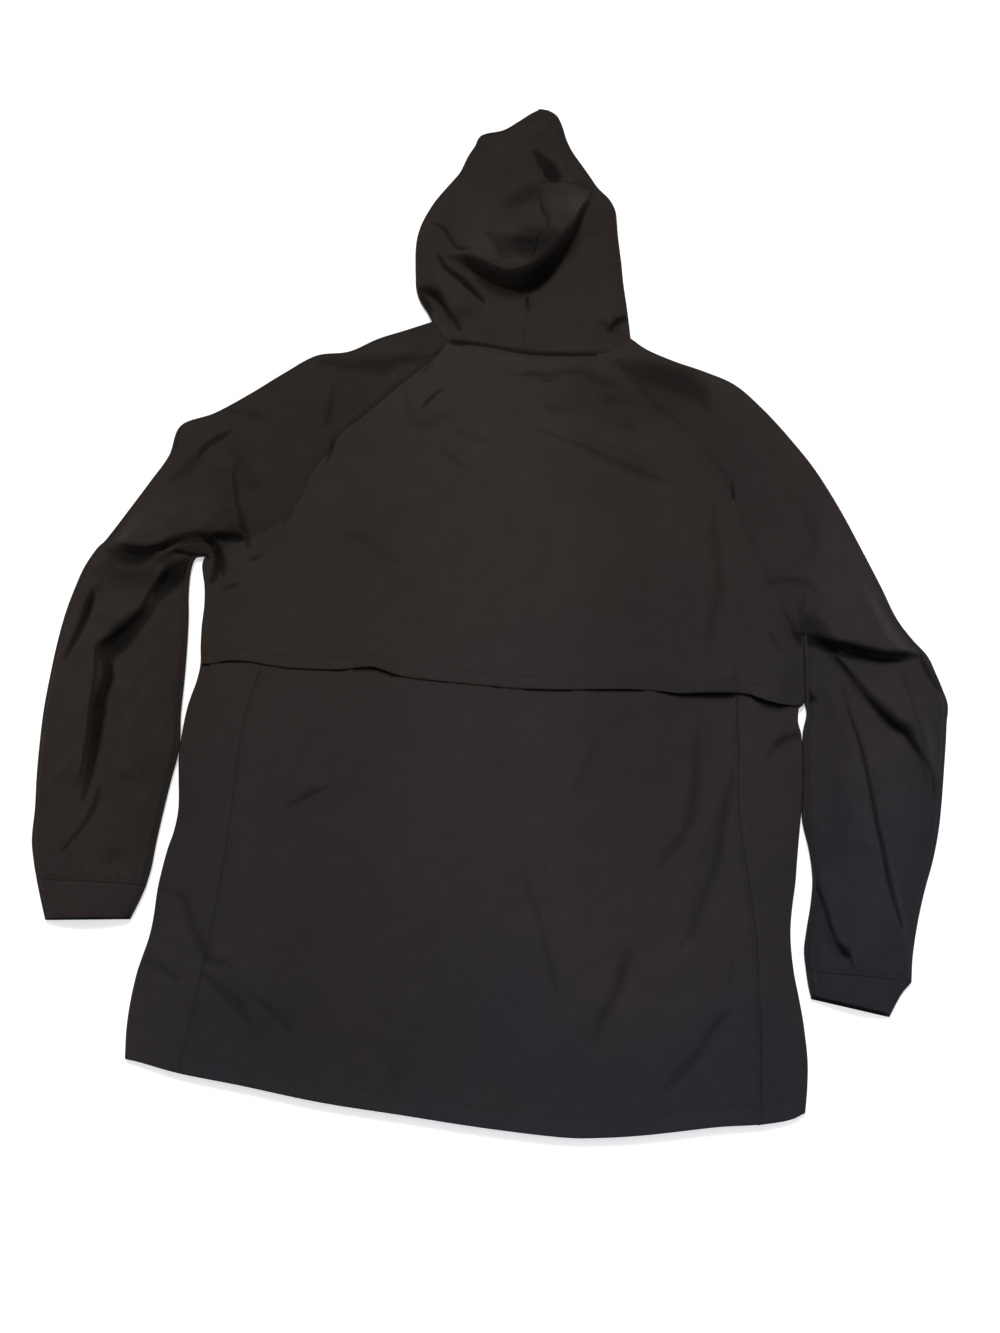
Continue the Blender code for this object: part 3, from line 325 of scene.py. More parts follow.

# The narrow gaps under the lips of folds, dug in and darkened with painted shade: depth,
# darkness of the painted shade, how sharp its walls are (2 soft, 4 sharp), and its path as
# x, y and half its width there.
HOLLOWS = placed_paths("""
    1.5 .6 3: -1 417 1, 3 392 1.5, 8 380 1.5, 10 363 1;
    1.5 .6 3: -3 299 1.5, 0 281 1;
    2.5 .8 3: 406 -31 1.9, 412 -46 2.9, 423 -62 2.4, 432 -70 1.5;
    1 .3 2: 389 -53 1.5, 395 -72 1.9, 406 -105 1.9, 416 -136 1;
    2.5 .8 3: 408 -344 1, 400 -354 1.9, 393 -375 1.9;
    2.8 .92 3: -393 6 2.9, -382 2 7.8, -369 0 10.7, -355 3 9.7, -344 10 5.8, -335 17 2.9;
    3 .75 4: -351 5 1.5, -340 11 3.9, -330 19 3.9, -314 27 2.4, -299 30 1.9, -290 31 1.5;
    3 1 4: -376 -108 4.8, -374 -124 5.8, -378 -142 6.3, -378 -160 6.3, -378 -184 5.3, -379 -205
        4.4, -381 -230 2.9, -384 -245 1.5;
    1.5 .35 2: -386 -4 5.8, -391 -25 6.3, -396 -41 4.4;
    2.5 1 4: -400 -38 2.9, -402 -48 5.3, -405 -63 5.3, -409 -79 4.4, -414 -94 3.9, -420 -108
        1.9;
    2 .6 2: -368 -230 1.5, -371 -248 2.4, -379 -267 2.4, -389 -282 1.9, -400 -297 1.5;
    2.5 .9 3: -97 341 1.5, -88 327 2.4, -72 316 2.9, -58 304 2.9, -43 290 1.5;
    2 .85 3: -113 302 1.9, -108 295 3.4, -102 287 3.4, -98 279 1.9;
    1.2 .5 2: -402 -18 3.9, -386 -20 10.7, -368 -21 14.5, -350 -22 12.6, -339 -27 6.8;
    2.5 .8 3: -75 249 2.4, -64 248 2.9, -56 248 1.9, -30 245 1.5, -10 242 1.9, 14 241 1.9, 49
        244 1.9, 76 248 1.5;
    3.5 1 3: -114 305 3.4, -105 303 5.3, -95 299 5.3, -87 291 3.9, -81 282 2.9, -74 272 2.4, -67
        261 1.5;
    3.5 1 3: 82 275 1.9, 87 284 3.4, 95 290 3.9, 103 291 2.9;
    3 .95 4: -10 462 1.9, -5 458 3.9, 2 450 5.8, 9 440 7.8, 15 431 6.8;
    1.2 .45 2: 1 426 1, 20 429 1.5, 48 429 1.5, 57 425 1.5;
    2 .55 3: -28 399 5.8, -19 405 8.7, -10 411 10.7, -4 417 6.8;
    2.5 .6 3: -50 361 2.4, -43 359 4.4, -35 352 6.3, -29 342 6.8, -24 334 3.9;
    3 .9 3: -32 356 6.8, -21 352 13.6, -7 350 17.5, 6 354 14.5, 14 360 6.8;
    1.8 .65 3: -108 377 1.5, -98 373 1.9, -90 365 1.9, -84 354 1.9, -75 345 2.4, -63 344 1.5;
    3 1 4: 323 -43 1.9, 334 -55 2.4, 347 -69 2.9, 357 -81 4.4, 369 -93 5.8, 382 -104 6.8, 395
        -111 6.3, 402 -123 3.9, 413 -136 2.9, 421 -150 2.4, 425 -169 1.5;
    2 .75 3: 337 -95 1, 346 -117 1.9, 354 -141 2.4, 361 -169 2.4, 368 -199 2.4, 377 -232 2.4,
        385 -263 2.4, 400 -305 1.5;
    2.2 .85 3: 311 -240 1, 317 -263 1.9, 324 -282 1.9, 331 -304 1.9, 335 -313 1.9;
    4.5 1 3: 334 -312 1.5, 338 -318 2.9, 344 -324 3.9, 349 -328 2.9;
    1.2 .7 3: 349 -327 1.5, 351 -333 1.5, 355 -339 1;
    2 1 3: 296 -71 1.5, 300 -79 3.4, 304 -87 5.8;
    3.5 1 4: -293 29 1.5, -285 28 4.4, -273 28 4.8, -264 28 4.4, -260 27 1.9;
    5.5 1 4: -300 27 2.4, -293 24 4.4, -286 15 4.8, -283 3 4.8, -284 -9 4.4, -288 -20 2.9;
    3 .8 3: -281 13 1.5, -276 0 1.9, -276 -14 1.5;
    4 1 3: -326 10 1.5, -312 9 2.4, -297 9 2.4, -292 6 1.9;
    4 1 5: -308 4 3.4, -315 -3 7.8, -321 -11 10.2, -329 -22 10.2, -335 -33 6.8, -338 -42 3.4;
    1.5 .7 3: -275 -25 1, -268 -22 1.9, -259 -19 1;
    1.5 .5 3: -251 6 1.5, -245 8 2.4, -239 12 1;
    1 .35 2: -222 42 1.5, -217 51 1.9, -212 58 1;
    3.5 1 5: -339 -46 2.4, -346 -55 5.8, -357 -68 9.7, -367 -82 12.1, -374 -93 11.2, -378 -104
        6.8;
    1.5 .6 3: -277 96 .5, -274 81 1.9, -270 66 1.9, -266 53 2.4, -261 39 3.9, -256 24 3.4, -253
        17 1.5;
    1 .22 2: -282 118 2.9, -274 105 5.8, -260 87 5.3, -250 71 2.9;
    2.2 .5 3: -203 218 3.9, -179 216 6.3, -154 215 8.2, -138 216 7.8, -123 224 4.8, -105 227
        3.4, -89 234 2.4, -84 239 1.5;
    1 .4 2: -91 231 1.5, -95 223 3.9, -99 213 2.9;
    1.2 .4 2: -188 193 1, -188 180 2.4, -190 162 2.9, -192 145 1.9;
    1 .6 3: -182 138 1, -182 128 1.9, -185 115 1.9, -187 109 1;
    1 .7 3: -97 175 1, -92 183 1.9, -85 191 1.5, -76 199 .5;
    1 .25 2: -117 199 2.4, -113 177 3.9, -104 159 6.8, -91 158 7.3, -78 167 4.8, -64 175 2.4;
    .8 .2 2: -62 151 2.4, -44 148 4.4, -25 141 2.4;
    .8 .18 2: -73 131 2.4, -58 120 4.4, -43 112 2.4;
    1.8 .65 3: -284 137 1, -294 130 2.9, -302 123 2.9, -309 116 2.9, -316 104 1.9;
    1.5 .3 2: -309 114 2.9, -321 97 4.8, -332 86 4.8, -341 78 2.9;
    1 .3 2: -296 157 1.9, -280 158 3.9, -266 154 4.8, -251 151 2.9;
    1 .22 2: -163 37 2.4, -146 36 5.8, -130 27 5.8, -116 18 3.9, -102 13 1.9;
    1.2 .35 2: -8 216 1.5, 8 219 3.9, 24 217 4.4, 39 223 3.9, 56 225 4.4, 76 219 4.8, 94 213
        2.9;
    .8 .6 3: -1 217 1, 11 220 1.5, 22 220 1;
    .8 .6 3: 18 214 1, 23 213 1.9, 29 216 1;
    .8 .22 2: 25 185 2.4, 37 182 4.8, 51 185 2.4;
    .8 .2 2: 76 198 2.4, 96 196 3.9, 114 200 1.9;
    .8 .22 2: 98 172 1.9, 107 173 3.9, 116 167 1.9;
    1.4 .35 2: 22 160 1.5, 43 153 2.4, 64 147 3.4, 84 139 3.9, 100 133 4.8, 116 127 4.8, 131 122
        4.4, 141 119 2.9, 154 115 1.5;
    2 .68 3: 89 241 3.9, 111 236 10.7, 131 233 15.5, 154 228 17, 172 218 14.1, 183 205 7.8, 187
        196 3.4;
    1 .6 3: 213 127 .5, 214 117 1.9, 216 103 1;
    1 .35 2: 251 22 2.4, 266 27 4.8, 283 29 5.3, 294 25 3.9, 302 18 1.9;
    1.8 .75 3: 269 3 1, 277 -8 1.9, 285 -20 2.9, 292 -30 3.9, 295 -38 2.4;
    1.6 .3 2: 197 100 1.5, 200 69 3.4, 204 44 4.4, 208 22 5.3, 207 2 5.8, 203 -18 4.8, 202 -38
        3.9, 202 -60 1.9;
    .8 .3 2: 258 -20 1.5, 264 -31 2.9, 274 -46 1.5;
    1 .25 2: 285 101 2.9, 295 84 5.3, 298 63 4.8, 291 47 2.4;
    4 1 5: 283 -23 3.9, 293 -25 6.8, 306 -27 7.8, 320 -32 7.8, 333 -35 8.2, 349 -37 7.8, 366 -39
        6.8, 386 -36 5.8, 406 -34 2.9;
    1.6 .33 2: -302 -318 2.9, -290 -321 3.9, -279 -327 4.8, -272 -339 4.8, -266 -353 3.9, -258
        -365 4.8, -251 -377 5.8, -243 -383 4.4, -230 -384 3.9, -219 -391 1.9;
    1.5 .33 2: -251 -393 1.9, -239 -403 4.4, -227 -412 5.3, -215 -420 5.8, -208 -430 4.8, -202
        -440 1.9;
    1.2 .3 2: -197 -414 1.9, -182 -423 3.9, -170 -432 4.4, -160 -444 1.9;
    1.4 .3 2: -305 -387 2.9, -292 -392 4.4, -280 -398 3.9, -270 -402 1.9;
    1.3 .6 3: -189 -233 1.5, -180 -227 2.4, -170 -220 2.9, -159 -214 2.4, -146 -209 1;
    .8 .2 2: -76 -451 2.4, -65 -471 4.8, -55 -496 2.9;
    1.8 .4 2: 195 -124 1, 196 -150 2.9, 196 -179 4.4, 195 -203 4.8, 190 -222 4.4, 182 -237 4.4,
        174 -249 3.9, 165 -264 1.9;
    1.6 .42 2: 232 -151 1, 230 -176 2.9, 227 -195 4.4, 224 -219 4.4, 222 -243 4.8, 218 -264 4.4,
        213 -280 3.9, 207 -298 3.4, 201 -318 2.9, 189 -335 1.5;
    1.8 .45 2: 146 -339 1.9, 141 -355 4.8, 137 -372 4.8, 131 -389 3.9, 124 -404 3.9, 119 -420
        2.4, 115 -432 1;
    1.8 .38 2: 241 -386 1.9, 230 -401 4.4, 221 -415 3.9, 213 -431 3.9, 203 -444 4.4, 193 -456
        3.9, 182 -467 1.9;
    1.2 .3 2: 39 -263 1, 44 -287 2.4, 52 -305 2.9, 60 -323 2.4, 65 -341 2.4, 71 -359 3.9, 77
        -377 4.4, 81 -390 1.9;
    1 .22 2: 101 -145 1.9, 95 -161 5.3, 89 -179 5.8, 81 -196 2.9;
    .8 .25 2: 243 -335 1, 240 -354 2.4, 238 -370 1.5;
    1.8 .6 3: 294 -120 3.9, 284 -124 4.4, 274 -131 4.4, 267 -140 2.4, 262 -148 1.5;
    4.5 1 4: -67 334 2.9, -53 326 4.1, -35 317 4.8, -22 314 5.7, -5 315 9.5, 10 328 10, 22 347.5
        7.4, 32 366.5 4.6, 39.5 385 3.6, 47.5 404.5 2.8, 56 429 1.4;
""")


def outlines():
    """The folded edges of the garment, where its layers come together."""
    lines = []
    for body, joint, start in ((LEFT, (-299.5, 9.5), 0), (RIGHT, (295.3, -24), 12)):
        lines += [
            np.vstack([fine(SLEEVE[body], OUT), fine(CUFF[body], OUT)]),
            np.vstack([fine(CUFF[body], BACK)[::-1],
                       fine(SLEEVE[body], BACK, UNDERARM + 1)[::-1],
                       [joint], BODY[start:, (COLUMN[body], 0)]]),
            np.vstack([fine(HOOD, HOOD_FOLD[body]), [HOOD_TIP]])]
    # all the way round, from the outside of the left sleeve to that of the right one
    return lines[:3] + lines[:2:-1]


OUTLINES = outlines()
RAGLAN = {body: fine(SLEEVE[body][:UNDERARM + 1], BACK) for body in SIDE}
FLOOR_SEAM = {body: fine(SLEEVE[body][:UNDERARM + 1], FRONT) for body in SIDE}
LONG_SEAM = {body: SIDE_SEAM[body][:, ::-1] for body in SIDE}


def to_path(path, x, y):
    """Distance to a path, signed side, how far along it, its length, and its tangent there."""
    best = np.full(x.shape, 1e9)
    side, where, tx, ty = (np.zeros(x.shape) for _ in range(4))
    gone = 0.0
    for (ax, ay), (bx, by) in zip(path[:-1], path[1:]):
        dx, dy = bx - ax, by - ay
        length = math.hypot(dx, dy)
        if length < 1e-6:
            continue
        t = np.clip(((x - ax) * dx + (y - ay) * dy) / length ** 2, 0.0, 1.0)
        away = np.hypot(x - ax - t * dx, y - ay - t * dy)
        nearer = away < best
        best = np.where(nearer, away, best)
        side = np.where(nearer, (y - ay) * dx - (x - ax) * dy, side)
        where = np.where(nearer, gone + t * length, where)
        tx, ty = np.where(nearer, dx / length, tx), np.where(nearer, dy / length, ty)
        gone += length
    return best, side, where, gone, tx, ty


def close_to(path, x, y, reach):
    low, high = path.min(axis=0) - reach, path.max(axis=0) + reach
    return (x > low[0]) & (x < high[0]) & (y > low[1]) & (y < high[1])


def bell(distance, width):
    return np.exp(-(distance / width) ** 2)


# ---- heights ---------------------------------------------------------------------
def edge_distance(x, y):
    """Distance to the nearest folded edge, and the same with soft changes between edges."""
    nearest, total = np.full(x.shape, 1e9), np.zeros(x.shape)
    for path in OUTLINES:
        near = close_to(path, x, y, 200.0)
        if near.any():
            away = to_path(path, x[near], y[near])[0]
            nearest[near] = np.minimum(nearest[near], away)
            total[near] += np.exp(-away / BLEND)
    return nearest, -BLEND * np.log(np.maximum(total, TINY))


def fold_relief(x, y):
    """Height of all folds, and how far they push the cloth sideways."""
    relief, push_x, push_y = (np.zeros(x.shape) for _ in range(3))
    for height, wide_left, wide_right, fading, lean, path in FOLDS:
        near = close_to(path, x, y, 2.6 * max(wide_left, wide_right))
        if not near.any():
            continue
        away, side, where, length, tx, ty = to_path(path, x[near], y[near])
        width = np.where(side > 0, wide_left, wide_right)
        share = smooth(np.minimum(where, length - where) / fading) * bell(away, width)
        relief[near] += height * share
        lean *= 1.0 if wide_left > wide_right else -1.0
        push_x[near] += lean * ty * share ** 2
        push_y[near] -= lean * tx * share ** 2
    return relief, push_x, push_y


def hollow_and_painted_shade(x, y):
    """Narrow gaps beside folds: how deep they are, and how much painted shade darkens them."""
    deep, painted_dark = np.zeros(x.shape), np.zeros(x.shape)
    for depth, shade, power, path in HOLLOWS:
        plan, widest = path[:, :2], path[:, 2].max()
        near = close_to(plan, x, y, 2.0 * widest + THINNEST)
        if not near.any():
            continue
        away, _, where, _, _, _ = to_path(plan, x[near], y[near])
        wide = np.interp(where, gone_along(plan), path[:, 2])
        share = ((wide / widest).clip(0.0, 1.0) ** 0.6
                 * np.exp(-(away / np.maximum(wide, THINNEST)) ** power))
        deep[near] = np.maximum(deep[near], depth * share)
        painted_dark[near] = np.maximum(painted_dark[near], shade * share)
    return deep, painted_dark


def field(x, y, size, seed):
    """Smooth noise of about -1 to 1 with features of a given size."""
    return np.array([noise.noise(Vector((a / size, b / size, seed))) for a, b in zip(x, y)]) * 1.6


def crumple(x, y, turn, stretch, size, seed):
    """Soft irregular creases, longer along one direction."""
    c, s = math.cos(math.radians(turn)), math.sin(math.radians(turn))
    u, v = (x * c + y * s) / stretch, -x * s + y * c
    bend = field(u, v, size * 3.0, seed + 7.0) * size * 0.8
    ridge = 1.0 - 2.0 * np.abs(field(u + bend, v - bend, size, seed))
    return 0.6 * ridge + 0.4 * field(u, v, size * 0.55, seed + 3.0)


def sewn(x, y, path, deep, ridge_side, seed, pucker=0.14, keep=1.0):
    """A sewn seam: a groove, a ridge where its allowance lies, and puckers on both sides.

    keep is the share of the groove that is left at the path's far end."""
    total = np.zeros(x.shape)
    near = close_to(path, x, y, 30.0)
    if near.any():
        away, side, where, length, _, _ = to_path(path, x[near], y[near])
        ends = smooth(np.minimum(where, length - where) / 8.0 + 0.15)
        ends = ends * (1.0 - (1.0 - keep) * smooth((where / length - 0.45) / 0.2))
        over = np.where(side * ridge_side > 0, 1.0, 0.0)
        slow = 0.5 + 0.5 * np.sin(where * 0.037 + 1.7 * np.sin(where * 0.011 + seed) + 2 * seed)
        wave = np.sin(where * 0.55 + 3.4 * np.sin(where * 0.071 + seed) + seed)
        total[near] = ends * (-deep * (0.55 + 0.45 * slow) * bell(away, 1.5)
                              + 0.4 * over * bell(away - 4.0, 3.4)
                              + pucker * wave * (0.25 + slow) * bell(away, 11.0)
                              * smooth(away / 3.0))
    return total


HOOD_SEAM = (fine(HOOD[:, :2]), 0.22, -1, 1.0, 0.08)
NECK_SEAM = (NECK, 0.9, 1, 2.0)
RAGLAN_SEAM = {LEFT: (RAGLAN[LEFT], 0.9, -1, 3.0, 0.14, 0.12),
               RIGHT: (RAGLAN[RIGHT], 0.5, 1, 4.0, 0.14, 0.3)}
# For each part of the garment: its coarse and its fine crumple, each as height, direction,
# stretch, size and seed; and the seams that cross it.
DETAIL = {
    "hood": ((0.6, 35, 1.6, 30, 11.0), (0.22, -40, 1.5, 13, 12.0), (HOOD_SEAM, NECK_SEAM)),
    "sleeve_left": ((0.8, 62, 2.2, 26, 21.0), (0.25, 80, 1.6, 12, 22.0), (RAGLAN_SEAM[LEFT],)),
    "sleeve_right": ((0.8, -58, 2.2, 26, 31.0), (0.25, -75, 1.6, 12, 32.0),
                     (RAGLAN_SEAM[RIGHT],)),
    "cape": ((0.4, 62, 1.5, 50, 41.0), (0.12, 40, 1.5, 17, 42.0),
             (*RAGLAN_SEAM.values(), NECK_SEAM)),
    "lower": ((0.4, 80, 1.6, 54, 51.0), (0.12, 70, 1.6, 18, 52.0),
              ((LONG_SEAM[LEFT], 0.06, 1, 5.0, 0.06), (LONG_SEAM[RIGHT], 0.6, -1, 6.0, 0.08))),
}


def detail(kind, x, y):
    """Small relief of each part of the garment: crumpled nylon and sewn seams."""
    *crumples, seams = DETAIL[kind]
    total = sum(height * crumple(x, y, *how) for height, *how in crumples)
    for seam in seams:
        total += sewn(x, y, *seam)
    return total


def laid(kind, x, y):
    """Where the back layer lies over plan points, as x, y, z."""
    x, y = np.asarray(x, float), np.asarray(y, float)
    edge, soft = edge_distance(x, y)
    turn = np.clip(FOLD - edge, 0.0, FOLD)
    rounded = MIDDLE + np.sqrt(FOLD ** 2 - turn ** 2)
    air = HEM_AIR + (1 - HEM_AIR) * smooth((y - along(HEM, x, 1)) / HEM_RISE)
    rise = PUFF * air * (1.0 - np.exp(-np.maximum(soft - FOLD, 0.0) / REACH))
    relief, push_x, push_y = fold_relief(x, y)
    fade = smooth((edge - FOLD) / FADE)
    raised = (rounded + rise + (relief - hollow_and_painted_shade(x, y)[0]) * fade
              + detail(kind, x, y) * smooth((edge - FOLD) / FINE_FADE))
    raised = LOWEST + LOWEST_SOFT * np.logaddexp(0.0, (raised - LOWEST) / LOWEST_SOFT)
    z = np.where(edge < FOLD, rounded, rounded + (raised - rounded) * smooth((edge - FOLD) / 3.0))
    above = y - along(CAPE_EDGE, x, 1)
    if kind in ("cape", "sleeve_left", "sleeve_right"):
        # the cape stands off the panel under it, most where its edge gapes
        off = CAPE_STEP + CAPE_GAPE * np.interp(x, CAPE_GAPS[:, 0], CAPE_GAPS[:, 1])
        near = smooth(1.0 - above / CAPE_RAMP)
        z = z + off * near * near
    if kind == "lower":
        z = z - UNDER_DROP * smooth((above + UNDER_START) / (UNDERLAP + UNDER_START))
    return np.stack([x + push_x * fade, y + push_y * fade, z], axis=-1)


def shadow(kind, x, y):
    """Painted shade: how much the colour is darkened inside narrow gaps, and the painted shadow
    just under the edge of the cape.
    """
    painted_dark = hollow_and_painted_shade(x, y)[1]
    if kind == "lower":
        below = (along(CAPE_EDGE, x, 1) - y).clip(0.0)
        wide = np.interp(x, CAPE_GAPS[:, 0], CAPE_GAPS[:, 1])
        share = (wide / 1.6).clip(0.0, 1.0)
        painted_dark = np.maximum(painted_dark, share * np.exp(-(below / np.maximum(wide, 0.9)) ** 4))
    return painted_dark


def floor_laid(x, y):
    """The front layer: flat on the floor, turned up at its edges, with pressed-in seams."""
    x, y = np.asarray(x, float), np.asarray(y, float)
    edge = edge_distance(x, y)[0]
    turn = np.clip(FOLD - edge, 0.0, FOLD)
    lift = np.zeros(x.shape)
    for path in FLOOR_SEAM.values():
        near = close_to(path, x, y, 8.0)
        if near.any():
            lift[near] += 0.6 * bell(to_path(path, x[near], y[near])[0], 1.5)
    lift += 0.16 * (1.0 + crumple(x, y, 75, 2.0, 30, 61.0)).clip(0.0, 2.0)
    return MIDDLE - np.sqrt(FOLD ** 2 - turn ** 2) + lift * smooth((edge - FOLD) / FINE_FADE)


# ---- rows of cloth -----------------------------------------------------------------
# A point of a row is x, y, how its height is found, and a value for that.
FIXED, ON_TOP, ON_FLOOR = 0.0, 1.0, 2.0
ROUND = (15, 30, 45, 60, 75)


def unit(vector):
    return np.asarray(vector, float) / max(norm(vector), TINY)


def tag(plan, how, value=0.0):
    plan = np.atleast_2d(plan)
    extra = np.empty((len(plan), 2))
    extra[:, 0], extra[:, 1] = how, value
    return np.hstack([plan, extra])


def steps(start, toward, distances):
    """Points at some distances from a start."""
    return start + toward * np.asarray(distances)[:, None]


def turned(corner, inward, angles, radius=FOLD, centre=FOLD):
    """Round a fold: from -90 (on the floor) over 0 (outermost) to 90 (on top)."""
    a = np.radians(np.asarray(angles, float))
    points = tag(steps(corner, inward, centre - radius * np.cos(a)), FIXED)
    points[:, 3] = MIDDLE + radius * np.sin(a)
    return points


def line(start, end, count):
    """Points of a straight line without both ends."""
    t = np.linspace(0.0, 1.0, count + 2)[1:-1, None]
    return start + (end - start) * t


def top_edge(place, inward, folded, tucked=False):
    """The edge of a back layer, from its end inward: a side fold, or a seam."""
    if folded:
        body = turned(place, inward, (1, *ROUND, 90))
        under = turned(place, inward, (-35, -15), FOLD - 1.7)
    else:
        body = tag(steps(place, inward, np.linspace(0, FOLD, 7)), ON_TOP)
        under = tag(steps(place, -inward, (TUCK, 0.7)), ON_TOP, TUCK_DEEP)
    return np.vstack([under, body]) if tucked else body


def floor_edge(place, inward, folded, far=TUCK, deep=TUCK_DEEP):
    """The same of a front layer, which runs on a little under its neighbour."""
    if folded:
        return np.vstack([turned(place, inward, (35, 15), FOLD - 0.9),
                          turned(place, inward, (-1, *(-a for a in ROUND), -90))])
    return np.vstack([tag(steps(place, -inward, (far, 0.1)), ON_FLOOR, deep),
                      tag(steps(place, inward, np.linspace(0, FOLD, 7)), ON_FLOOR)])


def evened(plan, space, axis):
    """Plan points moved along one axis of their grid until they lie evenly in space."""
    plan, space = np.swapaxes(plan, 0, axis).copy(), np.swapaxes(space, 0, axis)
    apart = norm(np.diff(space, axis=0), axis=2)
    gone = np.vstack([np.zeros(apart.shape[1]), np.cumsum(apart, axis=0)])
    share = np.linspace(0.0, 1.0, len(plan))
    old = plan.copy()
    for j in range(plan.shape[1]):
        for k in (0, 1):
            plan[:, j, k] = np.interp(share * gone[-1, j], gone[:, j], old[:, j, k])
    return np.swapaxes(plan, 0, axis)


def settle(rows, kind, first=0, last=0, axes=()):
    """Rows of tagged points become rows of points in space, with how much painted shade darkens
    each one.

    The columns from first to last are evened out along each of the axes."""
    rows = np.array(rows)
    column = np.arange(last - first)
    # in the cape, the points beside the side folds stay with those of the fold
    free = smooth(np.minimum(column, column[::-1]) / 8.0) if kind == "cape" else 1.0 + 0 * column
    for axis in axes:
        plan = rows[:, first:last, :2]
        space = laid(kind, plan[..., 0].ravel(), plan[..., 1].ravel())
        spread = evened(plan, space.reshape(*plan.shape[:2], 3), axis)
        rows[:, first:last, :2] = plan + (spread - plan) * free[None, :, None]
    x, y, how, value = (rows[..., k].copy() for k in range(4))
    points = np.stack([x, y, value], axis=-1)
    top, floor = how == ON_TOP, how == ON_FLOOR
    painted_dark = np.zeros(x.shape)
    if top.any():
        points[top] = laid(kind, x[top], y[top]) - np.array([0, 0, 1.0]) * value[top][:, None]
        painted_dark[top] = shadow(kind, x[top], y[top])
    if floor.any():
        points[floor, 2] = floor_laid(x[floor], y[floor]) + value[floor]
    return points, painted_dark


def normals(points, facing):
    """Unit normals of a sheet that faces up, down, or outward all round."""
    out = np.cross(np.gradient(points, axis=1), np.gradient(points, axis=0))
    out /= np.maximum(norm(out, axis=2, keepdims=True), TINY)
    weight = {"up": 1.0, "down": -1.0}.get(facing)
    if weight is None:
        weight = points[..., 2] - MIDDLE
    return out if (out[..., 2] * weight).sum() > 0 else -out


def in_scene(name, data):
    piece = bpy.data.objects.new(name, data)
    bpy.context.scene.collection.objects.link(piece)
    return piece


def mesh_piece(name, points, faces, material, smoothed=True):
    """An object from points in millimetres."""
    mesh = bpy.data.meshes.new(name)
    mesh.from_pydata((np.asarray(points).reshape(-1, 3) * MM).tolist(), [], faces)
    if smoothed:
        mesh.shade_smooth()
    mesh.materials.append(material)
    return in_scene(name, mesh)


def cloth(name, points, facing, material, painted_dark=None, shell=SHELL):
    """A sheet of cloth over rows of points, with the cloth's own sizes as its UV map."""
    long, wide = points.shape[:2]
    across = norm(np.diff(points, axis=1), axis=2)
    u = np.hstack([np.zeros((long, 1)), np.cumsum(across, axis=1)])
    u -= u[:, wide // 2][:, None]
    down = norm(np.diff(points, axis=0), axis=2).mean(axis=1)
    v = np.concatenate([[0.0], np.cumsum(down)])
    index = np.arange(long * wide).reshape(long, wide)
    a, b = index[:-1, :-1].ravel(), index[:-1, 1:].ravel()
    c, d = index[1:, 1:].ravel(), index[1:, :-1].ravel()
    plain = np.cross(np.gradient(points, axis=1), np.gradient(points, axis=0))
    forward = (plain * normals(points, facing)).sum() > 0
    quads = np.stack([a, b, c, d] if forward else [a, d, c, b], axis=1)
    piece = mesh_piece(name, points, quads.tolist(), material)
    mesh = piece.data
    layer = mesh.uv_layers.new(name="cut")
    loops = np.empty(len(mesh.loops), dtype=np.int32)
    mesh.loops.foreach_get("vertex_index", loops)
    flat = np.stack([u.ravel(), np.repeat(v, wide)], axis=1) * MM
    layer.data.foreach_set("uv", flat[loops].astype(np.float32).ravel())
    # painted shade, kept on the points as an attribute that darkens the cloth's colour
    if painted_dark is not None:
        shade = np.zeros((long, wide))
        shade[:len(painted_dark)] = painted_dark
        mesh.attributes.new("hollow_and_painted_shade", "FLOAT", "POINT").data.foreach_set(
            "value", shade.astype(np.float32).ravel())
    wall = piece.modifiers.new("wall", "SOLIDIFY")
    wall.thickness, wall.offset = shell * MM, -1.0
    return piece


def with_hem(points, facing, deep=DEEP_TURN):
    """The last row turned under: a round edge and a second layer behind the first."""
    inward = -normals(points, facing)
    count = max(1, int(deep / 2.6))
    last, side = points[-1], inward[-1]
    end = last - (points[-1 - count] - last) * 0.02
    rows = [end + side * 0.25, end + side * 0.7, last + side * HEM_THICK]
    for share in (0.35, 0.7, 1.0):
        row = -1 - round(count * share)
        rows.append(points[row] + inward[row] * HEM_THICK)
    return np.vstack([points, rows])


# ---- sleeves and cuffs ---------------------------------------------------------------
def seam_side(table, place, columns, body):
    """Unit vector across a raglan seam, away from the body's middle."""
    run = unit(row_of(table, min(place + 0.2, UNDERARM))[columns]
               - row_of(table, max(place - 0.2, 0.0))[columns])
    return body * np.array([-run[1], run[0]])


def evenly(table, first, last, step):
    """Places in a table whose rows lie about a step apart."""
    places = np.linspace(first, last, 400)
    gone = gone_along(np.array([row_of(table, p)[:4].reshape(2, 2).mean(axis=0)
                                for p in places]))
    return np.interp(np.linspace(0, gone[-1], int(gone[-1] / step) + 1), gone, places)


def round_row(out, back, front, folded, count, floor_count):
    """A row of a sleeve: front seam, floor, outer fold, top, back seam."""
    to_back, to_front = unit(back - out), unit(front - out)
    return np.vstack([
        floor_edge(front, -to_front, folded),
        tag(line(front - to_front * FOLD, out + to_front * FOLD, floor_count), ON_FLOOR),
        turned(out, to_front, range(-90, 0, 15)),
        turned(out, to_back, range(0, 91, 15)),
        tag(line(out + to_back * FOLD, back - to_back * FOLD, count), ON_TOP),
        top_edge(back, -to_back, folded, True)[::-1]])


SLEEVE_COLUMNS, SLEEVE_FLOOR, CUFF_FLOOR = 84, 8, 30
BEFORE_TOP = 22        # columns of a sleeve's row before those of its top, less its floor


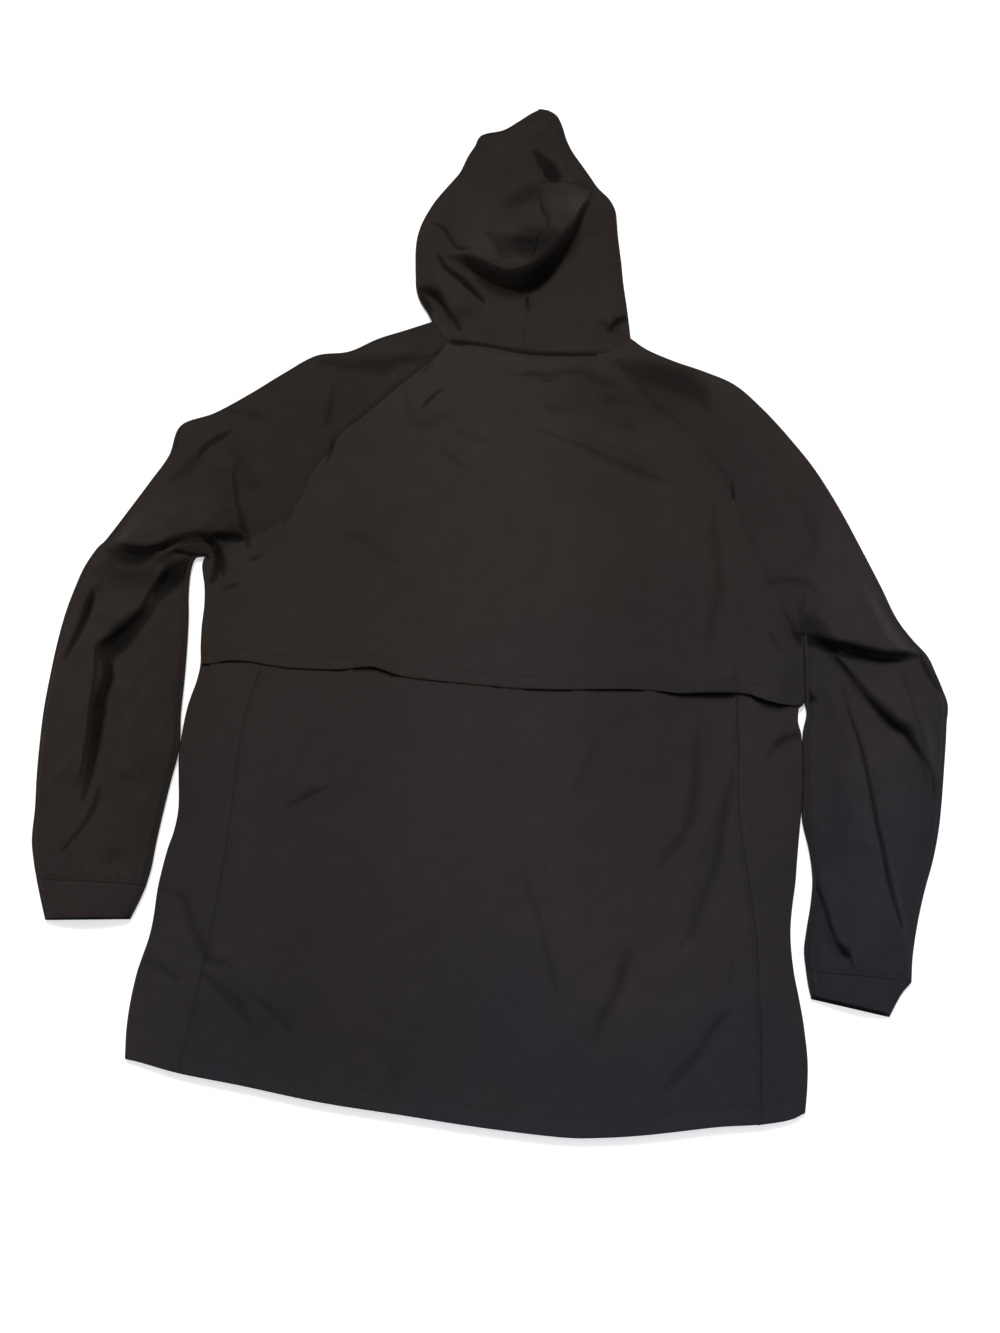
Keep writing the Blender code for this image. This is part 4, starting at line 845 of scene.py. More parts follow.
def sleeve(body, material):
    """From a little before the cuff seam up to the neck, sewn to the cape and the front."""
    name, table, rows = "sleeve_" + SIDE[body], SLEEVE[body], []
    for place in np.concatenate([evenly(table, 0, UNDERARM - 1e-3, 2.5),
                                 evenly(table, UNDERARM, len(table) - 1, 2.3)]):
        row = row_of(table, place)
        back, front = row[BACK], row[FRONT]
        if place < UNDERARM:
            back = back + seam_side(table, place, BACK, body) * SEAM / 2
            front = front + seam_side(table, place, FRONT, body) * SEAM / 2
        elif -300 < back[1] < -20:
            # beside the body, just clear of it
            top = smooth((back[1] + 46.0) / 8.0) * (body > 0)
            beside = along(BODY, back[1], COLUMN[body]) + body * (CLEAR - OVERLAP * top)
            apart = body * max(body * back[0], body * beside)
            back = front = np.array([apart + (beside - apart) * top, back[1]])
        rows.append(round_row(row[OUT], back, front, place >= UNDERARM,
                              SLEEVE_COLUMNS, SLEEVE_FLOOR))
    first = BEFORE_TOP + SLEEVE_FLOOR
    points, painted_dark = settle(rows, name, first, first + SLEEVE_COLUMNS, (0, 1, 0))
    # small pleats run up from the cuff's seam, as over elastic
    away = norm(points[-1:] - points, axis=2)
    across = gone_along(points[-1])
    bend = 0.8 * np.sin(across * 0.21 + body) + 0.5 * np.sin(across * 0.083)
    ripple = np.sin(across * 2 * math.pi / 9.0 + bend * 2.0)[None, :] * bell(away, 26.0)
    points[..., 2] += 0.3 * ripple * smooth((points[..., 2] - 3.2) / 2.5)
    return cloth(name, points, "round", material, painted_dark)


def cuff(body, gape, material):
    """A cuff; its upper layer ends a little before the lower one, most in the middle."""
    table, side = CUFF[body], SIDE[body]
    places = np.linspace(0.0, len(table) - 1, 17)
    rows = [row_of(table, place) for place in places]
    rows = [round_row(row[OUT], row[BACK], row[BACK], True, SLEEVE_COLUMNS, CUFF_FLOOR)
            for row in rows]
    points = settle(rows, "sleeve_" + side)[0]
    above = smooth((points[-1, :, 2] - 3.4) / 2.5)
    for back_by in range(7):
        row = points[-1 - back_by]
        run = row - points[-3 - back_by]
        run /= norm(run, axis=1, keepdims=True)
        points[-1 - back_by] = row - run * (gape * above * smooth(1 - back_by / 7.0))[:, None]
    middle = points.mean(axis=1, keepdims=True)
    # the cuff starts inside the sleeve and ends turned in
    start = points[0] + (points[0] - points[2]) * 0.9
    start = middle[0] + (start - middle[0]) * np.array([0.955, 0.97, 0.72])
    inner = []
    for back_by, narrow, share in ((0, 0.985, 0.90), (2, 0.93, 0.60), (5, 0.90, 0.50),
                                   (9, 0.88, 0.50)):
        around = middle[-1 - back_by]
        inner.append(around + (points[-1 - back_by] - around) * np.array([narrow, narrow, share]))
    points = np.vstack([[start], points, inner])
    across = gone_along(points[8])
    bend = 1.1 * np.sin(across * 0.33 + body) + 0.7 * np.sin(across * 0.127)
    t = np.linspace(0, 1, 17)
    share = np.concatenate([[0.0], smooth(t * 5 + 0.25) * smooth((1 - t) * 5 + 0.25),
                            [0.2, 0.1, 0, 0]])
    ripple = np.sin(across * 2 * math.pi / 5.4 + bend)
    points[..., 2] += (0.2 * share[:, None] * ripple[None, :]
                       * smooth((points[..., 2] - 3.0) / 2.0))
    # painted shade darkens the opening, but not at the folds beside it
    from_middle = norm(points[-1, :, :2] - middle[-10, :, :2], axis=1)
    open_part = smooth((from_middle.max() - from_middle - 1.0) / 3.0)
    painted_dark, count = np.zeros(points.shape[:2]), len(inner)
    painted_dark[-count:] = open_part
    painted_dark[-count - 3:-count] = open_part * (points[-count - 3:-count, :, 2] < 2.6)
    return cloth("cuff_" + side, points, "round", material, painted_dark)


# ---- the body ------------------------------------------------------------------------
CAPE_TAIL = [0.0, 0.22, 0.42, 0.62, 0.8, 0.92, 1.0]
CAPE_HALF = 94


def raglan(place, columns, body):
    table = SLEEVE[body]
    return row_of(table, place)[columns] - seam_side(table, place, columns, body) * SEAM / 2


def neck_bow(x):
    """How far the neck seam lies above the straight line between its corners."""
    ends = np.interp(x, NECK[[0, -1], 0], NECK[[0, -1], 1])
    return along(NECK, x, 1) - ends


def chord(x, ends):
    """Height y at x on the straight line between two points."""
    (ax, ay), (bx, by) = ends
    return np.interp(x, [ax, bx], [ay, by])


def cape_row(place):
    """Both ends of a row of the cape and how much it follows the neck and the edge."""
    if place < UNDERARM:
        return [raglan(place, BACK, body) for body in SIDE], smooth(1 - place / 4.0), 0.0
    share = np.interp(place - UNDERARM, range(len(CAPE_TAIL)), CAPE_TAIL)
    ends = []
    for body, top in BODY_TOP.items():
        low = along(CAPE_EDGE, along(BODY, CAPE_LOW, COLUMN[body]), 1)
        y = top + (low - top) * share
        ends.append(np.array([along(BODY, y, COLUMN[body]), y]))
    return ends, 0.0, share ** 2


def cape(material):
    """The upper back, from the neck seam down to its loose edge."""
    rows = []
    tail = UNDERARM + len(CAPE_TAIL) - 1
    for place in np.concatenate([evenly(SLEEVE[LEFT], 0, UNDERARM - 1e-3, 2.4),
                                 np.linspace(UNDERARM, tail, 50)]):
        ends, neck, edge = cape_row(place)
        centre = np.array([-1.0, (ends[0][1] + ends[1][1]) / 2])
        halves = []
        for end in ends:
            near = end + unit(centre - end) * FOLD
            halves.append(np.vstack([near, line(near, centre, CAPE_HALF - 1)]))
        plan = np.vstack([halves[0], [centre], halves[1][::-1]])
        straight = chord(plan[:, 0], ends)
        plan[:, 1] = (straight + neck * neck_bow(plan[:, 0])
                      + edge * (along(CAPE_EDGE, plan[:, 0], 1) - straight))
        left, right = (top_edge(end, unit(plan[k] - end), place >= UNDERARM)
                       for k, end in zip((0, -1), ends))
        rows.append(np.vstack([left[:-1], tag(plan, ON_TOP), right[::-1][1:]]))
    points, painted_dark = settle(rows, "cape", 7, 7 + 2 * CAPE_HALF - 1, (0, 0))
    return cloth("cape_back", with_hem(points, "up", TURN_IN), "up", material, painted_dark)


def lower_line(share, x):
    top, hem = along(CAPE_EDGE, x, 1), along(HEM, x, 1)
    return top + (hem - top) * share


def lower_point(share, table, column):
    """Where a row of the lower back meets a side fold or a seam."""
    x = along(BODY, SIDE_START, column) if table is BODY else table[0, column]
    for _ in range(5):
        y = lower_line(share, x)
        x = along(table, y, column)
    return np.array([x, y])


def lower_strip(name, left, right, columns, material):
    """A panel of the lower back. Each end is given as a table, its column, how far the
    panel stays from it, and its kind: "fold" for a side fold, "over" for a seam, and
    "under" for a seam where the panel runs on under its neighbour."""
    rows = []
    shares = np.concatenate([np.linspace(-UNDERLAP / LOWER_LONG, -0.012, 12),
                             [0.0, 0.002, 0.004, 0.0065, 0.009, 0.012, 0.016],
                             np.linspace(0.021, 1.0, 132)])
    for share in shares:
        ends = [lower_point(share, table, column) + (shift, 0)
                for table, column, shift, _ in (left, right)]
        inward = unit(ends[1] - ends[0])
        edges, plans = [], []
        for end, toward, kind in ((ends[0], inward, left[3]), (ends[1], -inward, right[3])):
            if kind == "fold" and share >= 0.0:
                edges.append(turned(end, toward, (1, *ROUND)))
                plans.append(end + toward * FOLD)
            elif kind == "fold":
                inset = end + toward * UNDER_INSET
                edges.append(tag(steps(inset, toward, np.linspace(0, 2, 6)), ON_TOP))
                plans.append(inset + toward * 2.5)
            else:
                under = (TUCK, 0.7) if kind == "under" else ()
                edges.append(tag(steps(end, -toward, under), ON_TOP, TUCK_DEEP))
                plans.append(end)
        plan = np.vstack([[plans[0]], line(*plans, columns - 1), [plans[1]]])
        off = [(x, y - lower_line(share, x)) for x, y in plans]
        plan[:, 1] = lower_line(share, plan[:, 0]) + chord(plan[:, 0], off)
        rows.append(np.vstack([edges[0], tag(plan, ON_TOP), edges[1][::-1]]))
    points, painted_dark = settle(rows, "lower")
    return cloth(name, with_hem(points, "up"), "up", material, painted_dark)


FRONT_TAIL = [0.0, 0.06, 0.14, 0.25, 0.37, 0.49, 0.61, 0.73, 0.84, 0.93, 1.0]
ZIP_SIDE = [178, 163, 147, 130, 113, 96, 79, 62, 45, 28, 12, -3, -18]
FRONT_COLUMNS = 44


def front_bow(x):
    """The hem of the fronts, which rises toward the zip."""
    return along(HEM, x, 1) + FRONT_HEM_LIFT * (1 - (x / FRONT_HALF) ** 2)


def front(body, material):
    """A front panel, from the raglan seam and the side fold to its edge at the zip."""
    rows = []
    edge_x, column = body * FRONT_EDGE, COLUMN[body]
    zip_y = float(ZIP_SIDE[-1])
    for place in np.concatenate([np.linspace(0, UNDERARM - 1e-3, 60),
                                 np.linspace(UNDERARM, UNDERARM + len(FRONT_TAIL) - 1, 74)]):
        folded = place >= UNDERARM
        if not folded:
            side = raglan(place, FRONT, body)
            centre = np.array([edge_x, np.interp(place, range(13), ZIP_SIDE)])
        else:
            share = np.interp(place - UNDERARM, range(len(FRONT_TAIL)), FRONT_TAIL)
            start = BODY_TOP[body]
            y = start + (along(HEM, BODY[-1, column], 1) + FRONT_OUT - start) * share
            side = np.array([along(BODY, y, column), y])
            hem = along(HEM, edge_x, 1) + FRONT_HEM_LIFT
            centre = np.array([edge_x, zip_y + (hem - zip_y) * share])
        inward = unit(centre - side)
        near = side + inward * FOLD
        t = np.linspace(0.0, 1.0, FRONT_COLUMNS + 1)
        plan = near + (centre - near) * t[:, None]
        plan[:, 1] -= NECK_DIP * smooth(1 - place / 3.0) * 4 * t * (1 - t)
        if folded:
            straight = near[1] + (centre[1] - near[1]) * t
            full = along(HEM, near[0], 1) + FRONT_OUT
            full = full + (along(HEM, centre[0], 1) + FRONT_HEM_LIFT - full) * t
            plan[:, 1] = straight + (front_bow(plan[:, 0]) - full) * share ** 2
        x, y = plan[-1]
        turn_in = np.array([(x, y, FIXED, 0.75), (x, y, FIXED, HEM_THICK),
                            (x + body * 8.0, y, FIXED, HEM_THICK)])
        rows.append(np.vstack([floor_edge(side, inward, folded, 0.2, 0.3),
                               tag(plan[1:], ON_FLOOR), turn_in]))
    points = settle(rows, "floor")[0]
    return cloth("front_" + SIDE[body], with_hem(points, "down"), "down", material)


# ---- the hood ------------------------------------------------------------------------
HOOD_TOP, HOOD_SIDE, HOOD_LOW, HOOD_ROWS = 66, 12, 26, 152
FACE_TURN = 12.0      # depth of the hem round the face, less where the hood is narrow
CROWN_HALF = SHELL + 0.2    # half the height of the hood where its layers have closed


def ring(body):
    """The neck seam of one hood half in plan: on top, and on the floor to the chin."""
    corners = [raglan(0, BACK, each) for each in SIDE]
    corner = corners[body > 0]
    middle = np.array([-1.0, (corners[0][1] + corners[1][1]) / 2])
    near = corner + unit(middle - corner) * FOLD
    start = np.array([-1.0, near[1]])
    top = start + (near - start) * np.linspace(0, 1, HOOD_TOP + 1)[:, None]
    top[:, 1] = chord(top[:, 0], corners) + neck_bow(top[:, 0])
    corner = raglan(0, FRONT, body)
    chin = np.array([body * FRONT_EDGE, CHIN])
    near = corner + unit(chin - corner) * FOLD
    t = np.linspace(0, 1, HOOD_LOW + 1)
    low = near + (chin - near) * t[:, None]
    low[:, 1] -= NECK_DIP * 4 * t * (1 - t)
    table = SLEEVE[body]
    return np.vstack([top, [table[0, BACK]]]), np.vstack([[table[0, FRONT]], low])


def share_of(path):
    gone = gone_along(path)
    return gone / gone[-1]


def moved_across(path, amount):
    """A path moved to the left of its travel."""
    run = np.gradient(path, axis=0)
    run /= np.maximum(norm(run, axis=1, keepdims=True), TINY)
    return path + np.column_stack([-run[:, 1], run[:, 0]]) * amount


def hood_half(body, material):
    """From under the neck seam up to the crown: the top, round the side fold, and the part
    under it up to the edge of the face."""
    top_ring, low_ring = ring(body)
    out = SLEEVE[body][0, OUT]
    to_back, to_front = unit(top_ring[-1] - out), unit(low_ring[0] - out)
    over, under = out + to_back * FOLD, out + to_front * FOLD
    top_line = np.vstack([top_ring, line(top_ring[-1], over, HOOD_SIDE), [over]])
    low_line = np.vstack([[under], line(under, low_ring[0], HOOD_SIDE), low_ring])
    rows, shut = [], []
    last = len(HOOD) - 1
    places = np.interp(np.linspace(0, 1, HOOD_ROWS), np.linspace(0, 1, last + 1), range(last + 1))
    for place in np.concatenate([[-1.0], places]):
        tucked = place < 0
        place = max(place, 0.0)
        row = row_of(HOOD, place)
        fold_at, face = row[HOOD_FOLD[body]], row[HOOD_FACE[body]]
        centre = row[0:2] + np.array([body * SEAM / 2, 0.0])
        closed = float(np.clip(row[CLOSED], 0.0, 1.0))
        follow = float(smooth(1 - place / 5.0))
        toward_top = unit(follow * to_back + (1 - follow) * unit(centre - fold_at))
        toward_low = unit(follow * to_front + (1 - follow) * unit(face - fold_at))
        plans = []
        for path, start, end in ((top_line, centre, fold_at + toward_top * FOLD),
                                 (low_line, fold_at + toward_low * FOLD, face)):
            old = share_of(path)
            share = (old * follow + np.linspace(0, 1, len(path)) * (1 - follow))[:, None]
            straight = path[0] + (path[-1] - path[0]) * old[:, None]
            plans.append(start + (end - start) * share + follow * (path - straight))
        radius = FOLD * (1 - closed) + CROWN_HALF * closed
        if tucked:
            before = plans[0][-1]
            plans = [moved_across(plan, TUCK * turn) for plan, turn in zip(plans, (-body, body))]
            fold_at = fold_at + plans[0][-1] - before
            radius = FOLD - 1.4
        drop = TUCK_DEEP if tucked else 0.0
        x, y = plans[1][-1]
        deep = min(FACE_TURN, 0.6 * float(norm(fold_at - face)))
        back_x, back_y = plans[1][-1] + unit(plans[1][-5] - plans[1][-1]) * deep
        thick = HEM_THICK * (1 - closed)
        turn_in = np.array([(x, y, ON_FLOOR, thick * 0.6), (x, y, ON_FLOOR, thick),
                            (back_x, back_y, ON_FLOOR, thick)])
        centre_at = radius if closed else FOLD
        parts = [tag(plans[0], ON_TOP, drop),
                 turned(fold_at, toward_top, range(75, -1, -15), radius, centre_at),
                 turned(fold_at, toward_low, range(-15, -76, -15), radius, centre_at),
                 tag(plans[1], ON_FLOOR, drop), turn_in]
        if body > 0:
            beyond = unit(plans[0][0] - plans[0][1])
            parts.insert(0, tag(steps(plans[0][0], beyond, (TUCK, 0.7)), ON_TOP,
                                TUCK_DEEP + drop))
        rows.append(np.vstack(parts))
        shut.append(closed)
    points, painted_dark = settle(rows, "hood")
    # toward the crown both layers close onto each other
    end_top = len(top_line) + (2 if body > 0 else 0)
    for part, level in ((slice(0, end_top), MIDDLE + CROWN_HALF),
                        (slice(end_top + 11, None), MIDDLE - CROWN_HALF)):
        points[:, part, 2] += (level - points[:, part, 2]) * np.array(shut)[:, None]
    end = points[-1] + np.array([0, 0.5, 0])
    end[:, 2] = MIDDLE + (end[:, 2] - MIDDLE) * 0.25
    return cloth("hood_" + SIDE[body], np.vstack([points, [end]]), "round", material, painted_dark)


# ---- sewing ---------------------------------------------------------------------------
STITCH, PITCH, THREAD = 2.6, 3.5, 0.26
STITCH_ENDS = ((-0.5, 0.2), (-0.3, 1.0), (0.3, 1.0), (0.5, 0.2))   # place, share of radius
AROUND = 5
PROBE = 0.8           # the slope of the cloth is taken over twice this


def wrap(faces, base, rings, around):
    """Adds the faces round a stack of rings of points, and over its two ends."""
    for i in range(rings - 1):
        for j in range(around):
            p, q = base + i * around + j, base + i * around + (j + 1) % around
            faces.append((p, q, q + around, p + around))
    faces.append(tuple(base + j for j in reversed(range(around))))
    faces.append(tuple(base + (rings - 1) * around + j for j in range(around)))


def at_lengths(path, spots):
    gone = gone_along(path)
    return np.column_stack([np.interp(spots, gone, path[:, k]) for k in (0, 1)])


def stitches(name, lines, material):
    """Rows of stitches along plan paths, on the cloth of the kind given with each path."""
    solid, faces = [], []
    for kind, path in lines:
        spots = np.arange(PITCH / 2, gone_along(path)[-1], PITCH)
        before, at, after = (at_lengths(path, spots + k) for k in (-0.5, 0.0, 0.5))
        run = after - before
        run /= np.maximum(norm(run, axis=1, keepdims=True), TINY)
        side = np.column_stack([-run[:, 1], run[:, 0]])
        on = []
        for plan in (at - run * PROBE, at + run * PROBE, at - side * PROBE, at + side * PROBE, at):
            if kind == "floor":
                on.append(np.column_stack([plan, floor_laid(plan[:, 0], plan[:, 1])]))
            else:
                on.append(laid(kind, plan[:, 0], plan[:, 1]))
        ahead = on[1] - on[0]
        ahead /= norm(ahead, axis=1, keepdims=True)
        out = np.cross(ahead, on[3] - on[2])
        out /= norm(out, axis=1, keepdims=True) * (-1.0 if kind == "floor" else 1.0)
        left = np.cross(out, ahead)
        middle = on[4] + out * 0.06
        for k in range(len(spots)):
            wrap(faces, len(solid), len(STITCH_ENDS), AROUND)
            for t, r in STITCH_ENDS:
                for a in np.linspace(0, 2 * math.pi, AROUND, endpoint=False):
                    solid.append(middle[k] + ahead[k] * t * STITCH
                                 + (left[k] * math.cos(a) + out[k] * math.sin(a)) * r * THREAD)
    return mesh_piece(name, solid, faces, material)


# ---- looks ---------------------------------------------------------------------------
class Nodes:
    """A Principled material and short ways to wire its nodes."""

    def __init__(self, name, **values):
        self.material = bpy.data.materials.new(name)
        self.material.use_nodes = True
        self.tree = self.material.node_tree
        self.shader = self.tree.nodes["Principled BSDF"]
        self.set(values)

    def feed(self, socket, item):
        """A value, a colour, or the output of another node."""
        if isinstance(item, bpy.types.NodeSocket):
            self.tree.links.new(item, socket)
        elif isinstance(item, tuple) and len(socket.default_value) == 4:
            socket.default_value = (*item, 1.0)
        else:
            socket.default_value = item

    def set(self, values):
        """Inputs of the shader, with _ for a space in their names."""
        for key, item in values.items():
            self.feed(self.shader.inputs[key.replace("_", " ")], item)

    def add(self, kind, inputs=None, out=0, **values):
        """One of the outputs of a new node."""
        node = self.tree.nodes.new("ShaderNode" + kind)
        for key, value in values.items():
            setattr(node, key, value)
        for key, item in (inputs or {}).items():
            self.feed(node.inputs[key], item)
        return node.outputs[out]

    def math(self, how, *items):
        return self.add("Math", dict(enumerate(items)), operation=how)

    def times(self, a, b):
        return self.math("MULTIPLY", a, b)

    def less(self, a, b):
        return self.math("SUBTRACT", a, b)

    def rise(self, item, slope, start):
        """item * slope + start"""
        return self.math("MULTIPLY_ADD", item, slope, start)

    def split(self, vector):
        node = self.add("SeparateXYZ", {0: vector}).node
        return node.outputs[0], node.outputs[1]

    def noise(self, where, scale, detail=3.0, rough=0.5):
        return self.add("TexNoise", {"Vector": where, "Scale": scale, "Detail": detail,
                                     "Roughness": rough})

    def scaled(self, colour, factor):
        return self.add("VectorMath", {0: colour, "Scale": factor}, operation="SCALE")

    def bump(self, height, distance, strength, before=None):
        inputs = {"Height": height, "Distance": distance, "Strength": strength}
        return self.add("Bump", {**inputs, "Normal": before} if before else inputs)


# ends of a painted drift of the light's colour, from warm to cool
WARM, COOL = (0.0276, 0.0210, 0.0173), (0.0184, 0.0167, 0.0222)
# Painted shade and painted highlights in broad soft zones: centre x, y, half sizes in x and
# y (m), and how much darker (a minus for a painted highlight).
PAINTED_LIGHT_AND_SHADE = [
    (-0.21, -0.10, 0.145, 0.38, 0.19), (-0.09, -0.40, 0.12, 0.12, 0.13),
    (0.155, -0.02, 0.078, 0.42, 0.17), (0.10, 0.205, 0.075, 0.038, 0.30),
    (0.25, 0.15, 0.07, 0.09, 0.14), (0.375, -0.19, 0.035, 0.14, -0.20),
    (0.345, 0.052, 0.045, 0.07, -0.15), (0.160, -0.318, 0.05, 0.12, -0.11),
    (0.086, 0.125, 0.06, 0.05, 0.08), (-0.22, -0.455, 0.09, 0.05, 0.07),
    (0.287, -0.36, 0.04, 0.15, 0.07), (0.09, -0.27, 0.05, 0.12, -0.05),
]


def nylon(name, tone=1.0, thread=0.00062, dim_from=0.26, dim=1.1, warm=1.0, across=1.0):
    """Near-black woven nylon: a plain weave, soft mottling, a painted warm to cool drift of
    the light, painted shade in gaps and painted broad zones of shade and highlight.

    Above dim_from it gets darker by dim for each metre, as painted shade. warm is how much
    of the drift the painted shade of a gap takes away, and across how fast it grows toward
    the right."""
    n = Nodes(name, Specular_IOR_Level=0.045, Sheen_Weight=0.018, Sheen_Roughness=0.45)
    place = n.add("TexCoord", out="Object")
    cut = n.add("UVMap", uv_map="cut")
    x, y = n.split(place)
    u, v = n.split(cut)
    # painted light: the colour drifts from warm at the shoulders to cool toward the hem and the
    # right sleeve
    drift = n.rise(x, across, n.rise(y, -1.5, 0.15))
    drift = n.rise(n.less(n.noise(place, 5.0, 4.0, 0.55), 0.5), 0.9, drift)
    drift = n.math("MINIMUM", n.math("MAXIMUM", drift, 0.0), 1.0)
    # the painted shade of gaps, of the cape's edge and of the cuffs' openings, which also keeps
    # their colour warm
    painted_shade = n.add("Attribute", out="Fac", attribute_name="hollow_and_painted_shade")
    drift = n.times(drift, n.rise(painted_shade, -warm, 1.0))
    colour = n.add("Mix", {0: drift, 6: WARM, 7: COOL}, 2, data_type="RGBA")
    # threads
    turns = 2 * math.pi / thread
    weave = n.times(n.math("SINE", n.times(u, turns)), n.math("SINE", n.times(v, turns)))
    slub = n.noise(n.add("Mapping", {"Vector": cut, "Scale": (1.0, 0.04, 1.0)}), 900.0, 1.0)
    tint = n.rise(n.noise(place, 42.0, 5.0, 0.6), 0.34, 0.83 * tone)
    tint = n.rise(n.less(slub, 0.5), 0.16, n.rise(weave, 0.07, tint))
    # painted shade: the colour of gaps darkened almost to black
    tint = n.times(tint, n.rise(painted_shade, -0.94, 1.0))
    # painted shade: darker toward the top, above dim_from
    crown = n.math("MAXIMUM", n.less(y, dim_from), 0.0)
    tint = n.times(tint, n.rise(crown, -dim, 1.0))
    # painted shade and painted highlights, zone by zone
    for at_x, at_y, half_x, half_y, darker in PAINTED_LIGHT_AND_SHADE:
        off_x = n.math("DIVIDE", n.less(x, at_x), half_x)
        off_y = n.math("DIVIDE", n.less(y, at_y), half_y)
        away = n.rise(off_x, off_x, n.times(off_y, off_y))
        share = n.math("EXPONENT", n.times(n.times(away, away), -1.0))
        tint = n.times(tint, n.rise(share, -darker, 1.0))
    crinkle = n.bump(n.noise(place, 210.0, 4.0, 0.62), 0.00035, 0.55)
    n.set({"Base Color": n.scaled(colour, tint), "Normal": n.bump(weave, 0.00006, 0.6, crinkle),
           "Roughness": n.rise(n.noise(place, 28.0), 0.22, 0.38)})
    return n.material


def plain(name, colour, roughness, metallic=0.0, grain=300.0, specular=0.5):
    """Moulded plastic, painted metal or thread, with a fine grain and uneven tone."""
    n = Nodes(name, Specular_IOR_Level=specular, Metallic=metallic)
    place = n.add("TexCoord", out="Object")
    tone = n.rise(n.noise(place, grain * 0.4, 4.0), 0.5, 0.75)
    n.set({"Base Color": n.scaled(colour, tone),
           "Roughness": n.rise(n.noise(place, grain), 0.2, roughness - 0.1),
           "Normal": n.bump(n.noise(place, grain * 3, 2.0), 0.00005, 0.6)})
    return n.material


# One cloth throughout: the different tones of its pieces are painted shade and light, as is the
# darkening toward the top of the left sleeve and the hood.
SLEEVE_CLOTH = {LEFT: nylon("nylon_sleeve_left", 0.65, dim_from=0.0, dim=0.7),
                RIGHT: nylon("nylon_sleeve_right", 0.80, warm=0.3)}
HOOD_CLOTH = nylon("nylon_hood", 0.66, dim_from=0.30, dim=1.75)
LOWER_CLOTH = nylon("nylon_lower", 0.91, warm=0.4, across=0.3)
CUFF_CLOTH = {LEFT: nylon("nylon_cuff_left", 0.68), RIGHT: nylon("nylon_cuff_right", 0.84)}
THREAD_BLACK = plain("sewing_thread", (0.0175, 0.0145, 0.0135), 0.6, grain=900.0, specular=0.05)
TAPE_CLOTH = nylon("zip_tape_weave", 0.85, 0.0009)
TOOTH = plain("zip_tooth_plastic", (0.016, 0.016, 0.017), 0.35)
LACQUER = plain("slider_lacquer", (0.022, 0.022, 0.024), 0.32, metallic=0.6)
CUFF_GAPE = {LEFT: 1.0, RIGHT: 2.8}
PANEL_COLUMNS, BACK_COLUMNS = 22, 170

# ---- the pieces of cloth -------------------------------------------------------------
pieces = {}
for body, side in SIDE.items():
    pieces["sleeve_" + side] = sleeve(body, SLEEVE_CLOTH[body])
for body, side in SIDE.items():
    pieces["cuff_" + side] = cuff(body, CUFF_GAPE[body], CUFF_CLOTH[body])
pieces["back_yoke"] = cape(nylon("nylon_shell", 0.88))
fold = {body: (BODY, COLUMN[body], 0.0, "fold") for body in SIDE}
seam_left, seam_right = SIDE_SEAM[LEFT], SIDE_SEAM[RIGHT]
for name, left, right, columns in (
        ("side_panel_left", fold[LEFT], (seam_left, 1, -0.001, "under"), PANEL_COLUMNS),
        ("back_lower", (seam_left, 1, 0.0, "over"), (seam_right, 1, -SEAM / 2, "over"),
         BACK_COLUMNS),
        ("side_panel_right", (seam_right, 1, SEAM / 2, "under"), fold[RIGHT], PANEL_COLUMNS)):
    pieces[name] = lower_strip(name, left, right, columns, LOWER_CLOTH)
for body, side in SIDE.items():
    pieces["front_" + side] = front(body, LOWER_CLOTH)
for body, side in SIDE.items():
    pieces["hood_" + side] = hood_half(body, HOOD_CLOTH)
for node, piece in pieces.items():
    piece.name = piece.data.name = node + "_cloth"
    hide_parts(node)
    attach(piece, "root")


# ---- the zip: two woven tapes, moulded teeth and a slider ------------------------------
def faceted(name, points, faces, material):
    """A hard piece with flat faces that all face outward."""
    piece = mesh_piece(name, points, faces, material, False)
    bm = bmesh.new()
    bm.from_mesh(piece.data)
    bmesh.ops.recalc_face_normals(bm, faces=bm.faces[:])
    bm.to_mesh(piece.data)
    bm.free()
    return piece


def slab(outline, low, high, edge, points, faces, at_y=0.0, both=True):
    """A plate with broken edges, added to lists of points and faces."""
    outline = np.asarray(outline, float)
    after = np.roll(outline, -1, axis=0)
    run = after - np.roll(outline, 1, axis=0)
    if (outline[:, 0] * after[:, 1] - outline[:, 1] * after[:, 0]).sum() < 0:
        run = -run
    inward = np.column_stack([-run[:, 1], run[:, 0]]) / norm(run, axis=1, keepdims=True)
    levels = [(low, edge), (low + edge, 0.0)]
    levels += [(high - edge, 0.0), (high, edge)] if both else [(high, 0.0)]
    wrap(faces, len(points), len(levels), len(outline))
    for z, inset in levels:
        points += [(x, at_y + y, z) for x, y in outline + inward * inset]


TAPE_LOW = 2.07        # underside of the tapes, above the turned-in front edges
TAPE_THICK = 0.45
TOOTH_PITCH = 2.6
TOOTH_LOW, TOOTH_HIGH, TOOTH_EDGE = 0.35, 2.3, 0.18
TOOTH_HALF = numbers("3.5 .78, 1.75 .74, 1.35 .4, .1 .38, -.25 .68, -.95 .72, -1.4 .35")


def zip_tape(name, body):
    """A woven tape: flat, with a thicker cord along its inner edge that carries the teeth."""
    across = np.array([0.6, 0.9, 1.3, 1.8, 2.3, 2.8, 3.6, 5.0, 7.0, 9.0, 11.0, 12.6, 13.4, 14.0])
    rib = 0.10 * (np.arange(len(across)) % 2) * (across > 4.0)
    z = TAPE_LOW - 0.28 * bell(across - 1.6, 0.9) - rib
    rows = [np.column_stack([body * across, np.full(len(across), y), z])
            for y in np.linspace(ZIP_BOTTOM, ZIP_TOP, 130)]
    return cloth(name, np.array(rows), "down", TAPE_CLOTH, shell=TAPE_THICK)


